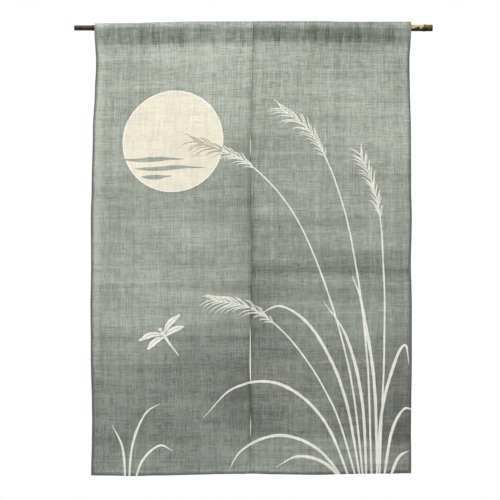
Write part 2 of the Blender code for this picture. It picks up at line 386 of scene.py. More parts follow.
def middle_line(side, share, v):
    """Points on the cloth's middle surface, for v from the hem's fold to the sleeve's sewn edge."""
    x_mean = across_panel(side, share, np.full_like(share, HEM_LEVEL / 2.0))
    seam = read(ACROSS, "x", "seam", x_mean)
    hem = read(ACROSS, "x", "hem", x_mean)
    below = hem + np.minimum(v, SEAM_V) / SEAM_V * (seam - hem)

    way = np.clip((v - SEAM_V) / SLEEVE_WAY, 0.0, 1.0)
    going_up = way <= 0.5
    foot = np.where(going_up, 0.0, SLEEVE_FOOT_LAYERS * LAYER)
    walked = np.where(going_up, way, 1.0 - way) * 2.0
    depth, height = sleeve_point(x_mean, seam, foot, walked)
    depth = np.where(going_up, -depth, depth)
    tail = np.maximum(v - TOP_V, 0.0)

    z = np.where(v < SEAM_V, below, height - tail)
    hanging = hanging_depth(side, share, z, seam)
    width = PANEL_WIDTH[side]
    hanging += pucker(share * width, v - SEAM_V) + pucker(share * width + HEM_PUCKER_SHIFT, v - BOTTOM_HEM)
    y = np.where(v < SEAM_V, hanging, depth)
    return np.stack([across_panel(side, share, z), y, z], axis=-1)


def cloth_place(side, s, v, behind=0.0):
    """World places of flat places, moved behind the cloth's middle surface where asked."""
    s = np.asarray(s, float)
    v = np.asarray(v, float)
    width = PANEL_WIDTH[side]
    over_left, over_right, over_hem = turned_over(-s), turned_over(s - width), turned_over(-v)
    mirrored = np.where(s > width / 2.0, width - s, s)
    inward = np.hypot(mirrored, TURN_ROUNDING) - TURN_ROUNDING
    share = np.where(s > width / 2.0, width - inward, inward) / width
    up = np.where(v < NEAR_HEM_FOLD, np.hypot(v, TURN_ROUNDING) - TURN_ROUNDING, v)

    over_side = np.maximum(over_left, over_right)
    layers = over_side * (1.0 - over_hem) + over_hem * (HEM_LAYERS - over_side)
    nudge = 0.0002
    here = middle_line(side, share, up)
    along = middle_line(side, share, up + nudge) - middle_line(side, share, up - nudge)
    length = np.hypot(along[..., 1], along[..., 2])
    offset = layers * LAYER + behind
    here[..., 1] += offset * along[..., 2] / length
    here[..., 2] -= offset * along[..., 1] / length
    return here


middle_of_left = cloth_place("left", 0.2, 0.6)
print("a place in the middle of the left panel:", np.round(middle_of_left, 4))

# %% [markdown]
# ## The picture that the dye leaves free
#
# The dyer draws with paste and every stroke stays the colour of raw hemp. The motifs here are plain
# autumn ones: a full moon behind wisps of mist, pampas grass with its plumes, and a dragonfly. They are
# charted in metres on the whole curtain, so the grass runs on from one panel to the other.
#
# A stroke is a smooth line through a few points with a width at each, turned into an outline. The
# outlines are then cut into the cloth's own mesh, as a stencil is cut, which keeps every stroke sharp at
# any distance and needs no image. Every outline runs anticlockwise, so that its inside is on its left.

# %% Draw strokes and discs
Stroke = namedtuple("Stroke", "kind outline")
STROKE_STEPS = 5
TREMOR = 0.055


def through(points, steps=STROKE_STEPS):
    """A smooth line through a few points."""
    points = [np.array(point, float) for point in points]
    points = [2 * points[0] - points[1], *points, 2 * points[-1] - points[-2]]
    line = []
    for a, b, c, d in zip(points, points[1:], points[2:], points[3:]):
        for step in range(steps):
            t = step / steps
            bend = 2 * a - 5 * b + 4 * c - d
            turn = 3 * b - a - 3 * c + d
            line.append(0.5 * (2 * b + (c - a) * t + bend * t**2 + turn * t**3))
    return np.array([*line, points[-2]])


def ribbon(kind, points, widths, steps=STROKE_STEPS):
    """A stroke of the brush: a smooth line, about as wide at each of its points as the widths say."""
    line = through(points, steps)
    walked = np.cumsum(np.linalg.norm(np.diff(line, axis=0, prepend=line[:1]), axis=1))
    tremor = np.sin(walked / 0.0052 + 90.0 * line[0, 0]) + np.sin(walked / 0.0131 + 70.0 * line[0, 1])
    width = np.interp(np.linspace(0, len(widths) - 1, len(line)), range(len(widths)), widths)
    width *= 1.0 + TREMOR * tremor
    direction = np.gradient(line, axis=0)
    direction /= np.linalg.norm(direction, axis=1)[:, None]
    aside = np.stack([-direction[:, 1], direction[:, 0]], axis=1) * width[:, None] / 2.0
    tip = line[-1] + direction[-1] * width[-1] / 2.0
    outline = np.concatenate([line - aside, [tip], (line + aside)[::-1]])
    return Stroke(kind, outline)


def disc(kind, centre, radius, sides=96):
    """A round patch."""
    angles = np.arange(sides) * 2.0 * math.pi / sides
    outline = np.array(centre) + radius * np.stack([np.cos(angles), np.sin(angles)], axis=1)
    return Stroke(kind, outline)


# %% [markdown]
# ### Moon and mist
#
# The moon is as large a pale shape as the cloth can carry. Three wisps of mist cross it in the colour of
# the ground.

# %% Chart the moon
MOON_CENTRE = (-0.2150, -0.3000)
MOON_RADIUS = 0.1350
WISPS = (
    ((-0.352, -0.346), (-0.300, -0.349), (-0.240, -0.346), (-0.186, -0.348)),
    ((-0.318, -0.371), (-0.262, -0.373), (-0.200, -0.369), (-0.128, -0.371)),
    ((-0.300, -0.393), (-0.262, -0.395), (-0.216, -0.392)),
)
WISP_WIDTHS = (0.0010, 0.0080, 0.0125, 0.0115, 0.0060, 0.0010)


def moon_and_mist():
    """The full moon, and the wisps of mist that cover part of it."""
    return [
        disc("moon", MOON_CENTRE, MOON_RADIUS),
        *(ribbon("mist", wisp, WISP_WIDTHS, 12) for wisp in WISPS),
    ]


# %% [markdown]
# ### Pampas grass
#
# The grass stands in the lower right corner. Each stem ends in a plume: a row of thin hairs on both
# sides that lean towards the tip and droop. One function draws a plume along any line, with a seeded
# chance that makes no two hairs alike. The blades are long tapering strokes that bend under their own
# weight.

# %% Chart the grass
STEMS = (
    ((0.296, -1.235), (0.262, -0.950), (0.196, -0.700), (0.104, -0.490), (-0.020, -0.358), (-0.160, -0.300)),
    ((0.316, -1.235), (0.303, -0.900), (0.270, -0.620), (0.222, -0.420), (0.158, -0.285), (0.070, -0.215)),
    ((0.334, -1.235), (0.346, -0.880), (0.345, -0.620), (0.326, -0.450), (0.284, -0.335)),
    ((0.284, -1.235), (0.214, -1.010), (0.112, -0.845), (0.004, -0.752), (-0.112, -0.722)),
)
BLADES = (
    ((0.270, -1.235), (0.186, -1.040), (0.070, -0.948), (-0.050, -0.958), (-0.134, -1.036)),
    ((0.290, -1.235), (0.244, -0.985), (0.166, -0.812), (0.076, -0.742), (0.004, -0.772)),
    ((0.326, -1.235), (0.342, -1.020), (0.376, -0.886), (0.402, -0.846), (0.412, -0.898)),
    ((0.302, -1.235), (0.290, -1.000), (0.248, -0.826), (0.186, -0.726)),
    ((0.342, -1.235), (0.366, -1.085), (0.398, -1.018), (0.430, -1.022)),
    ((0.262, -1.235), (0.176, -1.122), (0.070, -1.084), (-0.026, -1.120), (-0.068, -1.178)),
    ((0.330, -1.235), (0.322, -0.960), (0.288, -0.740), (0.262, -0.660)),
    ((0.256, -1.235), (0.196, -1.160), (0.122, -1.138), (0.058, -1.168)),
    ((0.352, -1.235), (0.382, -1.150), (0.414, -1.126)),
)
TUFT = (
    ((-0.338, -1.235), (-0.346, -1.120), (-0.376, -1.052)),
    ((-0.330, -1.235), (-0.322, -1.110), (-0.290, -1.026), (-0.248, -0.996)),
    ((-0.322, -1.235), (-0.296, -1.150), (-0.250, -1.108), (-0.214, -1.122)),
)
STEM_WIDTHS = (0.0052, 0.0048, 0.0042, 0.0034, 0.0024)
BLADE_WIDTHS = (0.0050, 0.0074, 0.0080, 0.0056, 0.0010)
PLUME_LENGTH = 0.1850
HAIRS_PER_SIDE = 15
HAIR_LENGTH = 0.0520
HAIR_WIDTHS = (0.0022, 0.0030, 0.0024, 0.0008)
chance = random.Random(11)


def plume(stem):
    """Hairs along the last stretch of a stem, shorter at the tip, leaning forward and drooping."""
    line = through(stem, 40)
    to_tip = np.cumsum(np.linalg.norm(np.diff(line, axis=0)[::-1], axis=1))[::-1]
    hairs = []
    for side in (-1.0, 1.0):
        for number in range(HAIRS_PER_SIDE):
            back = PLUME_LENGTH * (number + 0.5 + chance.uniform(-0.25, 0.25)) / HAIRS_PER_SIDE
            index = int(np.argmin(np.abs(to_tip - back)))
            start = line[index]
            forward = line[index + 1] - line[index]
            heading = math.atan2(forward[1], forward[0]) + side * math.radians(chance.uniform(17, 30))
            fullness = math.sin(math.pi * min(1.0, 0.22 + back / PLUME_LENGTH * 0.70))
            length = HAIR_LENGTH * (0.35 + 0.65 * fullness) * chance.uniform(0.85, 1.12)
            out = np.array([math.cos(heading), math.sin(heading)])
            sag = np.array([0.0, -length])
            points = (
                start,
                start + out * length * 0.35 + sag * 0.01,
                start + out * length * 0.72 + sag * 0.08,
                start + out * length + sag * 0.26,
            )
            hairs.append(ribbon("line", points, HAIR_WIDTHS, 3))
    return hairs


def pampas_grass():
    """Stems with their plumes, the blades of the clump, and a small tuft in the other corner."""
    strokes = []
    for stem in STEMS:
        strokes.append(ribbon("line", stem, STEM_WIDTHS, 40))
        strokes += plume(stem)
    for blade in BLADES:
        strokes.append(ribbon("line", blade, BLADE_WIDTHS, 36))
    for blade in TUFT:
        strokes.append(ribbon("line", blade, [width * 0.8 for width in BLADE_WIDTHS], 24))
    return strokes


# %% [markdown]
# ### Dragonfly
#
# Four slender wings, a jointed body and a round head, drawn on their own axes and then turned and put
# in place.

# %% Chart the dragonfly
DRAGONFLY_PLACE = (-0.2350, -0.8150)
DRAGONFLY_TURN = math.radians(32.0)
WINGS = (
    ((0.002, 0.004), (0.030, 0.020), (0.062, 0.024)),
    ((0.002, -0.004), (0.028, -0.001), (0.055, -0.008)),
)
WING_WIDTHS = (0.0030, 0.0130, 0.0150, 0.0050)
BODY = ((0.0, 0.012), (0.0, -0.008), (0.001, -0.036), (0.004, -0.066))
BODY_WIDTHS = (0.0072, 0.0078, 0.0040, 0.0028)


def dragonfly():
    """The dragonfly's wings with their main vein, its body and its head."""
    strokes = []
    for flip in (-1.0, 1.0):
        for wing in WINGS:
            points = [(flip * x, y) for x, y in wing]
            strokes.append(ribbon("patch", points, WING_WIDTHS, 6))
            vein = [(flip * x * 0.9, y * 0.9 + 0.001) for x, y in wing]
            strokes.append(ribbon("vein", vein, (0.0014, 0.0014, 0.0010), 6))
    strokes.append(ribbon("line", BODY, BODY_WIDTHS, 6))
    strokes.append(disc("line", (0.0, 0.0185), 0.0048, 20))
    cosine, sine = math.cos(DRAGONFLY_TURN), math.sin(DRAGONFLY_TURN)
    turn = np.array([[cosine, sine], [-sine, cosine]])
    return [Stroke(kind, outline @ turn + np.array(DRAGONFLY_PLACE)) for kind, outline in strokes]


PICTURE = [*moon_and_mist(), *pampas_grass(), *dragonfly()]
print("strokes and patches in the picture:", len(PICTURE))

# %% [markdown]
# ## The cloth's mesh
#
# The mesh is laid out flat. An even grid of points carries the folds, with extra rows at the sharp
# turns: the finished edges, the creases and the fold over the pole. Delaunay triangulation then joins
# the grid with the outlines of the picture, so each triangle lies wholly inside or outside of each
# stroke and can carry a number that says which. After that the points are carried to their places in
# space, and a Solidify modifier gives the cloth its thickness.

# %% Lay out the grid of a panel
GRID_ACROSS = 0.0052
GRID_UP = 0.0056
GRID_SLEEVE = 0.0022
GRID_CREASE = 0.0022
CREASE_HALF_BAND = 0.0110
TURN_POINTS = (-0.0012, -0.0007, -0.0003, 0.0, 0.0003, 0.0007, 0.0012)
FOLD_POINTS = (-0.0024, -0.0018, -0.0012, -0.0006, 0.0, 0.0006, 0.0012, 0.0018, 0.0024)
CLEAR_OF_OUTLINE = 0.0011
OUTLINE_STEP = 0.0045
CLOSEST_ROWS = 0.00025
FOLD_V = SEAM_V + SLEEVE_WAY / 2.0


def evenly(start, end, step):
    """Evenly spaced values from start to end, about a step apart."""
    return np.linspace(start, end, max(2, round((end - start) / step) + 1))


def panel_columns(side):
    """Places across the flat cut, with close ones at both turned edges."""
    width = PANEL_WIDTH[side]
    left, right = TURNED[side]
    turn = np.array(TURN_POINTS)
    first, last = turn[-1], width - turn[-1]
    parts = [evenly(-left, -first, GRID_ACROSS), turn, evenly(first, last, GRID_ACROSS)]
    parts += [width + turn, evenly(width + first, width + right, GRID_ACROSS)]
    return np.unique(np.round(np.concatenate(parts), 6))


def panel_rows(side):
    """Places up the flat cut, with close ones at the hem, the creases and the sleeve's fold."""
    turn = np.array(TURN_POINTS)
    fold = FOLD_V + np.array(FOLD_POINTS)
    parts = [evenly(-BOTTOM_HEM, turn[0], GRID_UP), turn, evenly(turn[-1], SEAM_V, GRID_UP)]
    parts += [evenly(SEAM_V, fold[0], GRID_SLEEVE), fold, evenly(fold[-1], TOP_V, GRID_SLEEVE)]
    parts.append(evenly(TOP_V, END_V, GRID_SLEEVE))
    for crease in CREASES:
        if crease.panel == side:
            level = crease.z * MM - HEM_LEVEL
            parts.append(evenly(level - CREASE_HALF_BAND, level + CREASE_HALF_BAND, GRID_CREASE))
    rows = np.unique(np.round(np.concatenate(parts), 6))
    kept = [rows[0]]
    for row in rows[1:]:
        if row - kept[-1] > CLOSEST_ROWS:
            kept.append(row)
    return np.array(kept)


for panel in ("left", "right"):
    print(panel, "panel:", len(panel_columns(panel)), "columns,", len(panel_rows(panel)), "rows")

# %% [markdown]
# ### Cut the picture into the grid
#
# Grid points that lie very near an outline are dropped first, because they would make needle-thin
# triangles. The border of the cut and the lines where the cloth turns sharply are given as edges that
# the triangles have to follow. What the triangulation makes outside of the border is thrown away, so
# strokes may run off the cloth. The dyer painted after the hems were sewn, so the turned-over cloth stays
# plain. The numbers that the triangles carry are: 0 for the dyed ground, 1 for a free line, 2 for a pale
# patch, and 3 for a line across a pale patch.

# %% Triangulate a panel with its picture
GROUND, FREE_LINE, PALE_PATCH, PATCH_LINE = 0.0, 1.0, 2.0, 3.0


def strokes_on(side):
    """The strokes that reach a panel, in the panel's own flat places."""
    shift = np.array([-PANEL_START[side], -HEM_LEVEL])
    low, high = -TURNED[side][0], PANEL_WIDTH[side] + TURNED[side][1]
    found = []
    for kind, outline in PICTURE:
        flat = outline + shift
        if flat[:, 0].max() > low and flat[:, 0].min() < high:
            found.append(Stroke(kind, densely(flat, OUTLINE_STEP)))
    return found


def clear_grid(columns, rows, strokes):
    """The grid's inner points that keep clear of all outlines, and all the points on its border."""
    marks = np.concatenate([densely(stroke.outline, CLEAR_OF_OUTLINE) for stroke in strokes])
    tree = KDTree(len(marks))
    for index, (s, v) in enumerate(marks):
        tree.insert((s, v, 0.0), index)
    tree.balance()
    kept = []
    for s in columns:
        for v in rows:
            on_border = s in (columns[0], columns[-1]) or v in (rows[0], rows[-1])
            if on_border or tree.find((s, v, 0.0))[2] > CLEAR_OF_OUTLINE:
                kept.append((s, v))
    return kept


def densely(outline, step):
    """A closed outline with more points along it, no further apart than the step."""
    marks = []
    for a, b in zip(outline, np.roll(outline, -1, axis=0)):
        count = max(1, math.ceil(np.linalg.norm(b - a) / step))
        marks += [a + (b - a) * number / count for number in range(count)]
    return np.array(marks)


def number_for(kinds, on_front):
    """What a triangle shows that lies inside strokes of these kinds."""
    if not on_front:
        return GROUND
    on_moon = "moon" in kinds and "mist" not in kinds
    if "line" in kinds:
        return PATCH_LINE if on_moon else FREE_LINE
    if "vein" in kinds:
        return PATCH_LINE
    return PALE_PATCH if on_moon or "patch" in kinds else GROUND


def sharp_places(places, sharp, reach=0.0025):
    """The first and last places of a list, and those near 0 or near a second sharp turn."""
    near = np.minimum(np.abs(places), np.abs(places - sharp)) < reach
    return [places[0], *places[near], places[-1]]


def flat_panel(side):
    """The flat panel: its points, its triangles, and the number that each triangle carries."""
    columns, rows = panel_columns(side), panel_rows(side)
    strokes = strokes_on(side)
    points = clear_grid(columns, rows, strokes)
    outlines = []
    for stroke in strokes:
        outlines.append(list(range(len(points), len(points) + len(stroke.outline))))
        points += [tuple(point) for point in stroke.outline]
    low, high = (columns[0], rows[0]), (columns[-1], rows[-1])
    straight = [((s, low[1]), (s, high[1])) for s in sharp_places(columns, PANEL_WIDTH[side])]
    straight += [((low[0], v), (high[0], v)) for v in sharp_places(rows, FOLD_V)]
    edges = []
    for line in straight:
        edges.append((len(points), len(points) + 1))
        points += line
    result = delaunay_2d_cdt([Vector(point) for point in points], edges, outlines, 0, 1e-6)
    flat = np.array([(point.x, point.y) for point in result[0]])
    triangles, numbers = [], []
    for triangle, inside in zip(result[2], result[5]):
        s, v = flat[triangle].mean(axis=0)
        if low[0] < s < high[0] and low[1] < v < high[1]:
            on_front = 0.0 < s < PANEL_WIDTH[side] and v > 0.0
            triangles.append(triangle)
            numbers.append(number_for({strokes[index].kind for index in inside}, on_front))
    return flat, triangles, numbers


# %% [markdown]
# ### Hang the panel
#
# The flat places become the UV map, in metres, so the weave keeps its scale wherever the cloth goes. The
# right panel's map starts a metre further on, which gives the two panels different threads. Solidify
# works on both sides of the middle surface, and it copies the numbers and the map to the new faces.

# %% Build both panels
UV_SHIFT = {"left": 0.0, "right": 1.0}


def start_clean():
    """Deselects everything, so that an operator acts only on what is made next."""
    bpy.ops.object.select_all(action="DESELECT")


def make_active(piece):
    """Selects one piece and makes it the one that operators act on."""
    start_clean()
    piece.select_set(True)
    bpy.context.view_layer.objects.active = piece


def hang_panel(name, side):
    """A panel of cloth with its hems and sleeve turned, the picture cut in, and its real thickness."""
    flat, triangles, numbers = flat_panel(side)
    used = np.unique(np.concatenate(triangles))
    renumber = np.full(len(flat), -1)
    renumber[used] = np.arange(len(used))
    flat = flat[used]
    triangles = renumber[np.array(triangles)]
    places = cloth_place(side, flat[:, 0], flat[:, 1])

    mesh = bpy.data.meshes.new(name)
    mesh.from_pydata([tuple(place) for place in places], [], triangles.tolist())
    shown = mesh.attributes.new("picture", "FLOAT", "FACE")
    shown.data.foreach_set("value", numbers)
    # The fold attribute holds painted shade along the creases, and painted light and painted shade beside
    # the slit.
    folded = mesh.attributes.new("fold", "FLOAT", "POINT")
    folded.data.foreach_set("value", crease_light_and_shade(side, flat[:, 0] / PANEL_WIDTH[side], places[:, 2]))
    uv_map = mesh.uv_layers.new(name="flat_cloth")
    corners = flat[triangles.ravel()] + np.array([UV_SHIFT[side], 0.0])
    uv_map.uv.foreach_set("vector", corners.ravel())
    mesh.validate()
    panel = bpy.data.objects.new(name, mesh)
    bpy.context.scene.collection.objects.link(panel)

    thickness = panel.modifiers.new("thickness", "SOLIDIFY")
    thickness.thickness = CLOTH
    thickness.offset = 0.0
    make_active(panel)
    bpy.ops.object.modifier_apply(modifier=thickness.name)
    bpy.ops.object.shade_smooth_by_angle(angle=math.radians(50.0))
    print(name, "has", len(panel.data.polygons), "triangles and quads")
    return panel


left_panel = hang_panel("noren_left", "left")
right_panel = hang_panel("noren_right", "right")

# %% [markdown]
# ## The bamboo pole
#
# A culm of bamboo is a smooth tube with a joint every hand's breadth or so. Each joint has a thin sharp
# ring, where the sheath once sat, a groove, and a softer swelling. A cylinder is cut with bisect at every
# place where the width changes, and each new ring is scaled to its radius, which is how one would turn
# it by hand. The cut ends are inset and pushed in a little, where the pith has shrunk.

# %% Model the pole
POLE_SIDES = 40
JOINT_PROFILE = (
    (-8.0, 0.00),
    (-4.0, 0.25),
    (-1.8, 0.45),
    (-1.0, 1.10),
    (-0.2, 1.10),
    (0.5, 0.35),
    (1.4, 0.35),
    (3.4, 0.80),
    (6.0, 0.30),
    (9.0, 0.00),
)
PITH_SHARE = 0.38
PITH_DEPTH = 0.0025
RIM_SHARE = 0.94
RIM_ROUNDING = 0.0004
PITH_WALL_SHARE = 0.08
PITH_SLOPE_SHARE = 0.14
PITH_HOLLOW = 0.3


def ring_places():
    """Every place along the pole where it is cut, with the radius that it has there."""
    places = []
    for joint in JOINT_PLACES:
        for along, swell in JOINT_PROFILE:
            x = joint + along * MM
            places.append((x, pole_radius(x) + swell * MM))
    return sorted(places)


def select_ring(piece, x, reach=0.00002):
    """In edit mode, selects the points of the ring at x and nothing else."""
    bpy.ops.mesh.select_all(action="DESELECT")
    bpy.ops.object.mode_set(mode="OBJECT")
    for point in piece.data.vertices:
        point.select = abs(point.co.x - x) < reach
    bpy.ops.object.mode_set(mode="EDIT")
    bpy.ops.mesh.select_mode(type="VERT")


def size_ring(piece, x, radius, drawn_radius):
    """Scales one ring about the pole's axis."""
    select_ring(piece, x)
    share = radius / drawn_radius
    bpy.ops.transform.resize(value=(1.0, share, share), center_override=(x, 0.0, 0.0))


def model_pole(name):
    """The whole culm, from one end to the other."""
    half = POLE_LENGTH / 2.0
    drawn_radius = POLE_RADIUS_RIGHT
    start_clean()
    bpy.ops.mesh.primitive_cylinder_add(
        vertices=POLE_SIDES, radius=drawn_radius, depth=POLE_LENGTH, rotation=(0.0, math.radians(90.0), 0.0)
    )
    piece = bpy.context.active_object
    piece.name = name
    bpy.ops.object.transform_apply(location=True, rotation=True, scale=True)
    bpy.ops.object.mode_set(mode="EDIT")
    for x, _ in ring_places():
        bpy.ops.mesh.select_all(action="SELECT")
        bpy.ops.mesh.bisect(plane_co=(x, 0.0, 0.0), plane_no=(1.0, 0.0, 0.0))
    for x, radius in [(-half, pole_radius(-half)), *ring_places(), (half, pole_radius(half))]:
        size_ring(piece, x, radius, drawn_radius)
    for end, inward in ((-half, 1.0), (half, -1.0)):
        finish_end(piece, end, inward)
    bpy.ops.object.mode_set(mode="OBJECT")
    bpy.ops.object.shade_smooth_by_angle(angle=math.radians(35.0))
    return piece


def select_cap(piece, x, reach=0.00002):
    """In edit mode, selects the flat face that closes the pole at x."""
    bpy.ops.mesh.select_mode(type="FACE")
    bpy.ops.mesh.select_all(action="DESELECT")
    bpy.ops.object.mode_set(mode="OBJECT")
    for face in piece.data.polygons:
        face.select = abs(face.center.x - x) < reach and abs(face.normal.x) > 0.9
    bpy.ops.object.mode_set(mode="EDIT")


def finish_end(piece, x, inward):
    """Rounds the saw cut's rim a little and sinks the pith at its middle."""
    radius = pole_radius(x)
    select_cap(piece, x)
    bpy.ops.mesh.inset(thickness=radius * (1.0 - RIM_SHARE))
    bpy.ops.transform.translate(value=(-inward * RIM_ROUNDING, 0.0, 0.0))
    bpy.ops.mesh.inset(thickness=radius * (RIM_SHARE - PITH_SHARE))
    bpy.ops.mesh.inset(thickness=radius * PITH_WALL_SHARE)
    bpy.ops.transform.translate(value=(inward * PITH_DEPTH, 0.0, 0.0))
    bpy.ops.mesh.inset(thickness=radius * PITH_SLOPE_SHARE)
    bpy.ops.transform.translate(value=(inward * PITH_DEPTH * PITH_HOLLOW, 0.0, 0.0))


bamboo_pole = model_pole("bamboo_pole")

# %% [markdown]
# ## The sewing
#
# All hems and the sleeve are sewn by hand with a running stitch, which shows as a row of short threads
# on the front and, in the gaps between them, on the back. Above the slit, slanting stitches hold the
# panels together, with a few close ones where the slit begins. One stitch is modelled, a short tapered
# thread whose ends dip into the cloth, and numpy sets a copy of it at each place along the sewn lines.

# %% Model one stitch
STITCH_RADIUS = 0.00034
STITCH_LENGTH = 0.0042
STITCH_PITCH = 0.0075


def model_stitch():
    """One stitch along X, a unit long and thin, as arrays of its points and faces."""
    start_clean()
    bpy.ops.mesh.primitive_cylinder_add(vertices=6, radius=1.0, depth=1.0, rotation=(0, math.radians(90), 0))
    stitch = bpy.context.active_object
    bpy.ops.object.transform_apply(location=True, rotation=True, scale=True)
    bpy.ops.object.mode_set(mode="EDIT")
    for x in (-0.36, -0.15, 0.15, 0.36):
        bpy.ops.mesh.select_all(action="SELECT")
        bpy.ops.mesh.bisect(plane_co=(x, 0.0, 0.0), plane_no=(1.0, 0.0, 0.0))
    for x, radius in ((-0.5, 0.45), (-0.36, 0.85), (0.36, 0.85), (0.5, 0.45)):
        select_ring(stitch, x, 0.001)
        bpy.ops.transform.resize(value=(1.0, radius, radius), center_override=(x, 0.0, 0.0))
    bpy.ops.object.mode_set(mode="OBJECT")
    points = np.array([tuple(point.co) for point in stitch.data.vertices])
    faces = [tuple(face.vertices) for face in stitch.data.polygons]
    bpy.data.objects.remove(stitch)
    return points, faces


STITCH_POINTS, STITCH_FACES = model_stitch()
print("one stitch:", len(STITCH_FACES), "faces")

# %% [markdown]
# ### Lay the stitches
#
# A sewn line is a list of pairs of flat places, where the needle goes in and comes out. Each stitch is
# turned to lie along its pair, in a frame of three directions: along the stitch, out of the cloth, and
# aside.

# %% Sew the hems, the sleeve and the seam
STITCH_RISE = 0.85
STITCH_DIP = 2.8
BACK_SEED = 500


def lay_stitches(ends, outward):
    """Points of one stitch for each pair of ends, bulging outward from the cloth."""
    start, end = ends[:, 0], ends[:, 1]
    along = end - start
    length = np.linalg.norm(along, axis=1)[:, None]
    along = along / length
    aside = np.cross(along, outward)
    aside /= np.linalg.norm(aside, axis=1)[:, None]
    outward = np.cross(aside, along)
    x, y, z = STITCH_POINTS.T
    dip = STITCH_RADIUS * (STITCH_RISE - STITCH_DIP * (2.0 * np.abs(x)) ** 3.0)
    middle = (start + end) / 2.0
    return (
        middle[:, None, :]
        + along[:, None, :] * (x * length)[..., None]
        + aside[:, None, :] * (y * STITCH_RADIUS)[None, :, None]
        + outward[:, None, :] * (z * STITCH_RADIUS + dip)[None, :, None]
    )


def running_line(start, end, row):
    """Pairs of flat places along a straight sewn line, a little uneven, as a hand sews."""
    start, end = np.array(start), np.array(end)
    total = np.linalg.norm(end - start)
    count = int(total / STITCH_PITCH)
    sway = np.random.default_rng(row)
    pairs = []
    for number in range(count):
        centre = (number + 0.5 + sway.uniform(-0.08, 0.08)) / count
        half = STITCH_LENGTH * sway.uniform(0.8, 1.15) / 2.0 / total
        drift = (end - start)[::-1] / total * np.array([-1.0, 1.0]) * sway.uniform(-0.0003, 0.0003)
        pairs.append([start + (end - start) * (centre + half * turn) + drift for turn in (-1.0, 1.0)])
    return np.array(pairs)


def sew(side, start, end, row, layers_behind):
    """The stitches of one line, on the front and, half a pitch on, on the back of all its layers."""
    front = running_line(start, end, row)
    direction = (np.array(end) - np.array(start)) / np.linalg.norm(np.array(end) - np.array(start))
    back = running_line(start, end, row + BACK_SEED) + direction * STITCH_PITCH / 2.0
    threads = []
    for pairs, behind, facing in (
        (front, -CLOTH / 2.0, -1.0),
        (back, layers_behind * LAYER + CLOTH / 2.0, 1.0),
    ):
        ends = cloth_place(side, pairs[..., 0], pairs[..., 1], behind)
        outward = np.tile([0.0, facing, 0.0], (len(ends), 1))
        threads.append(lay_stitches(ends, outward))
    return np.concatenate(threads)


def joined_threads(name, threads):
    """One mesh of many stitches."""
    size = len(STITCH_POINTS)
    copies = range(len(threads))
    faces = [tuple(index + size * number for index in face) for number in copies for face in STITCH_FACES]
    mesh = bpy.data.meshes.new(name)
    mesh.from_pydata([tuple(point) for point in threads.reshape(-1, 3)], [], faces)
    piece = bpy.data.objects.new(name, mesh)
    bpy.context.scene.collection.objects.link(piece)
    make_active(piece)
    bpy.ops.object.shade_smooth_by_angle(angle=math.radians(60.0))
    print(name, "has", len(threads), "stitches")
    return piece


LINE_END = 0.0040
SLEEVE_LINE_DROP = 0.0010
HEM_LINE_INSET = 0.0018
SIDE_LINE_INSET = 0.0014


def sew_panel(name, side):
    """The sewing of one panel: its sleeve, its bottom hem and its side hems."""
    width = PANEL_WIDTH[side]
    left, right = TURNED[side]
    start, end = LINE_END, width - LINE_END
    sleeve = SEAM_V - SLEEVE_LINE_DROP
    hem = BOTTOM_HEM - HEM_LINE_INSET
    near_left = left - SIDE_LINE_INSET
    near_right = width - right + SIDE_LINE_INSET
    top = SEAM_V - LINE_END
    lines = [
        sew(side, (start, sleeve), (end, sleeve), 1, SLEEVE_FOOT_LAYERS),
        sew(side, (start, hem), (end, hem), 2, HEM_LAYERS),
        sew(side, (near_left, BOTTOM_HEM), (near_left, top), 3, 1.0),
        sew(side, (near_right, BOTTOM_HEM), (near_right, top), 4, 1.0),
    ]
    return joined_threads(name, np.concatenate(lines))


SEAM_START = SEAM_LEVEL + 0.002
SEAM_FOOT = -0.2760
SEAM_STITCH_PITCH = 0.0060
SEAM_STITCH_HALF_WIDTH = 0.0019
SEAM_STITCH_SLANT = 0.0014
TACK_COUNT = 6
TACK_PITCH = 0.0009


def seam_levels():
    """Levels of the stitches that join the panels, with close ones where the slit begins."""
    levels = list(np.arange(SEAM_START, SEAM_FOOT, -SEAM_STITCH_PITCH))
    return levels + [SEAM_FOOT - number * TACK_PITCH for number in range(TACK_COUNT)]


def sew_seam(name):
    """Slanting stitches across the line where the panels meet."""
    levels = np.array(seam_levels())
    slant = np.where(levels > SEAM_FOOT, SEAM_STITCH_SLANT, 0.0)
    rise = levels - HEM_LEVEL
    threads = []
    for facing, behind in ((-1.0, -CLOTH / 2.0), (1.0, LAYER + CLOTH / 2.0)):
        from_seam = np.full(len(rise), SEAM_STITCH_HALF_WIDTH)
        inner = cloth_place("left", PANEL_WIDTH["left"] - from_seam, rise - slant, behind)
        outer = cloth_place("right", from_seam, rise + slant, behind)
        ends = np.stack([inner, outer], axis=1)
        threads.append(lay_stitches(ends, np.tile([0.0, facing, 0.0], (len(ends), 1))))
    return joined_threads(name, np.concatenate(threads))


left_sewing = sew_panel("sewing_left", "left")
right_sewing = sew_panel("sewing_right", "right")
seam_sewing = sew_seam("sewing_seam")

# %% [markdown]
# ## Tools for materials
#
# Materials are made of nodes: small steps that turn a place on the cloth into a colour or a height. A
# few helpers keep the recipes short. `put` adds a node and fills its inputs with values or links,
# `calc` does one sum, `mix` blends two colours and `spread` stretches a range of values to another one.

# %% Helpers for node trees
def put(tree, kind, inputs=None, **settings):
    """Adds a node, with its options set and its inputs filled."""
    node = tree.nodes.new(kind)
    for name, value in settings.items():
        setattr(node, name, value)
    for key, value in (inputs or {}).items():
        if isinstance(value, bpy.types.NodeSocket):
            tree.links.new(value, node.inputs[key])
        else:
            node.inputs[key].default_value = value
    return node


def calc(tree, operation, *values, clamp=False):
    """The result of one sum."""
    inputs = dict(enumerate(values))
    return put(tree, "ShaderNodeMath", inputs, operation=operation, use_clamp=clamp).outputs[0]


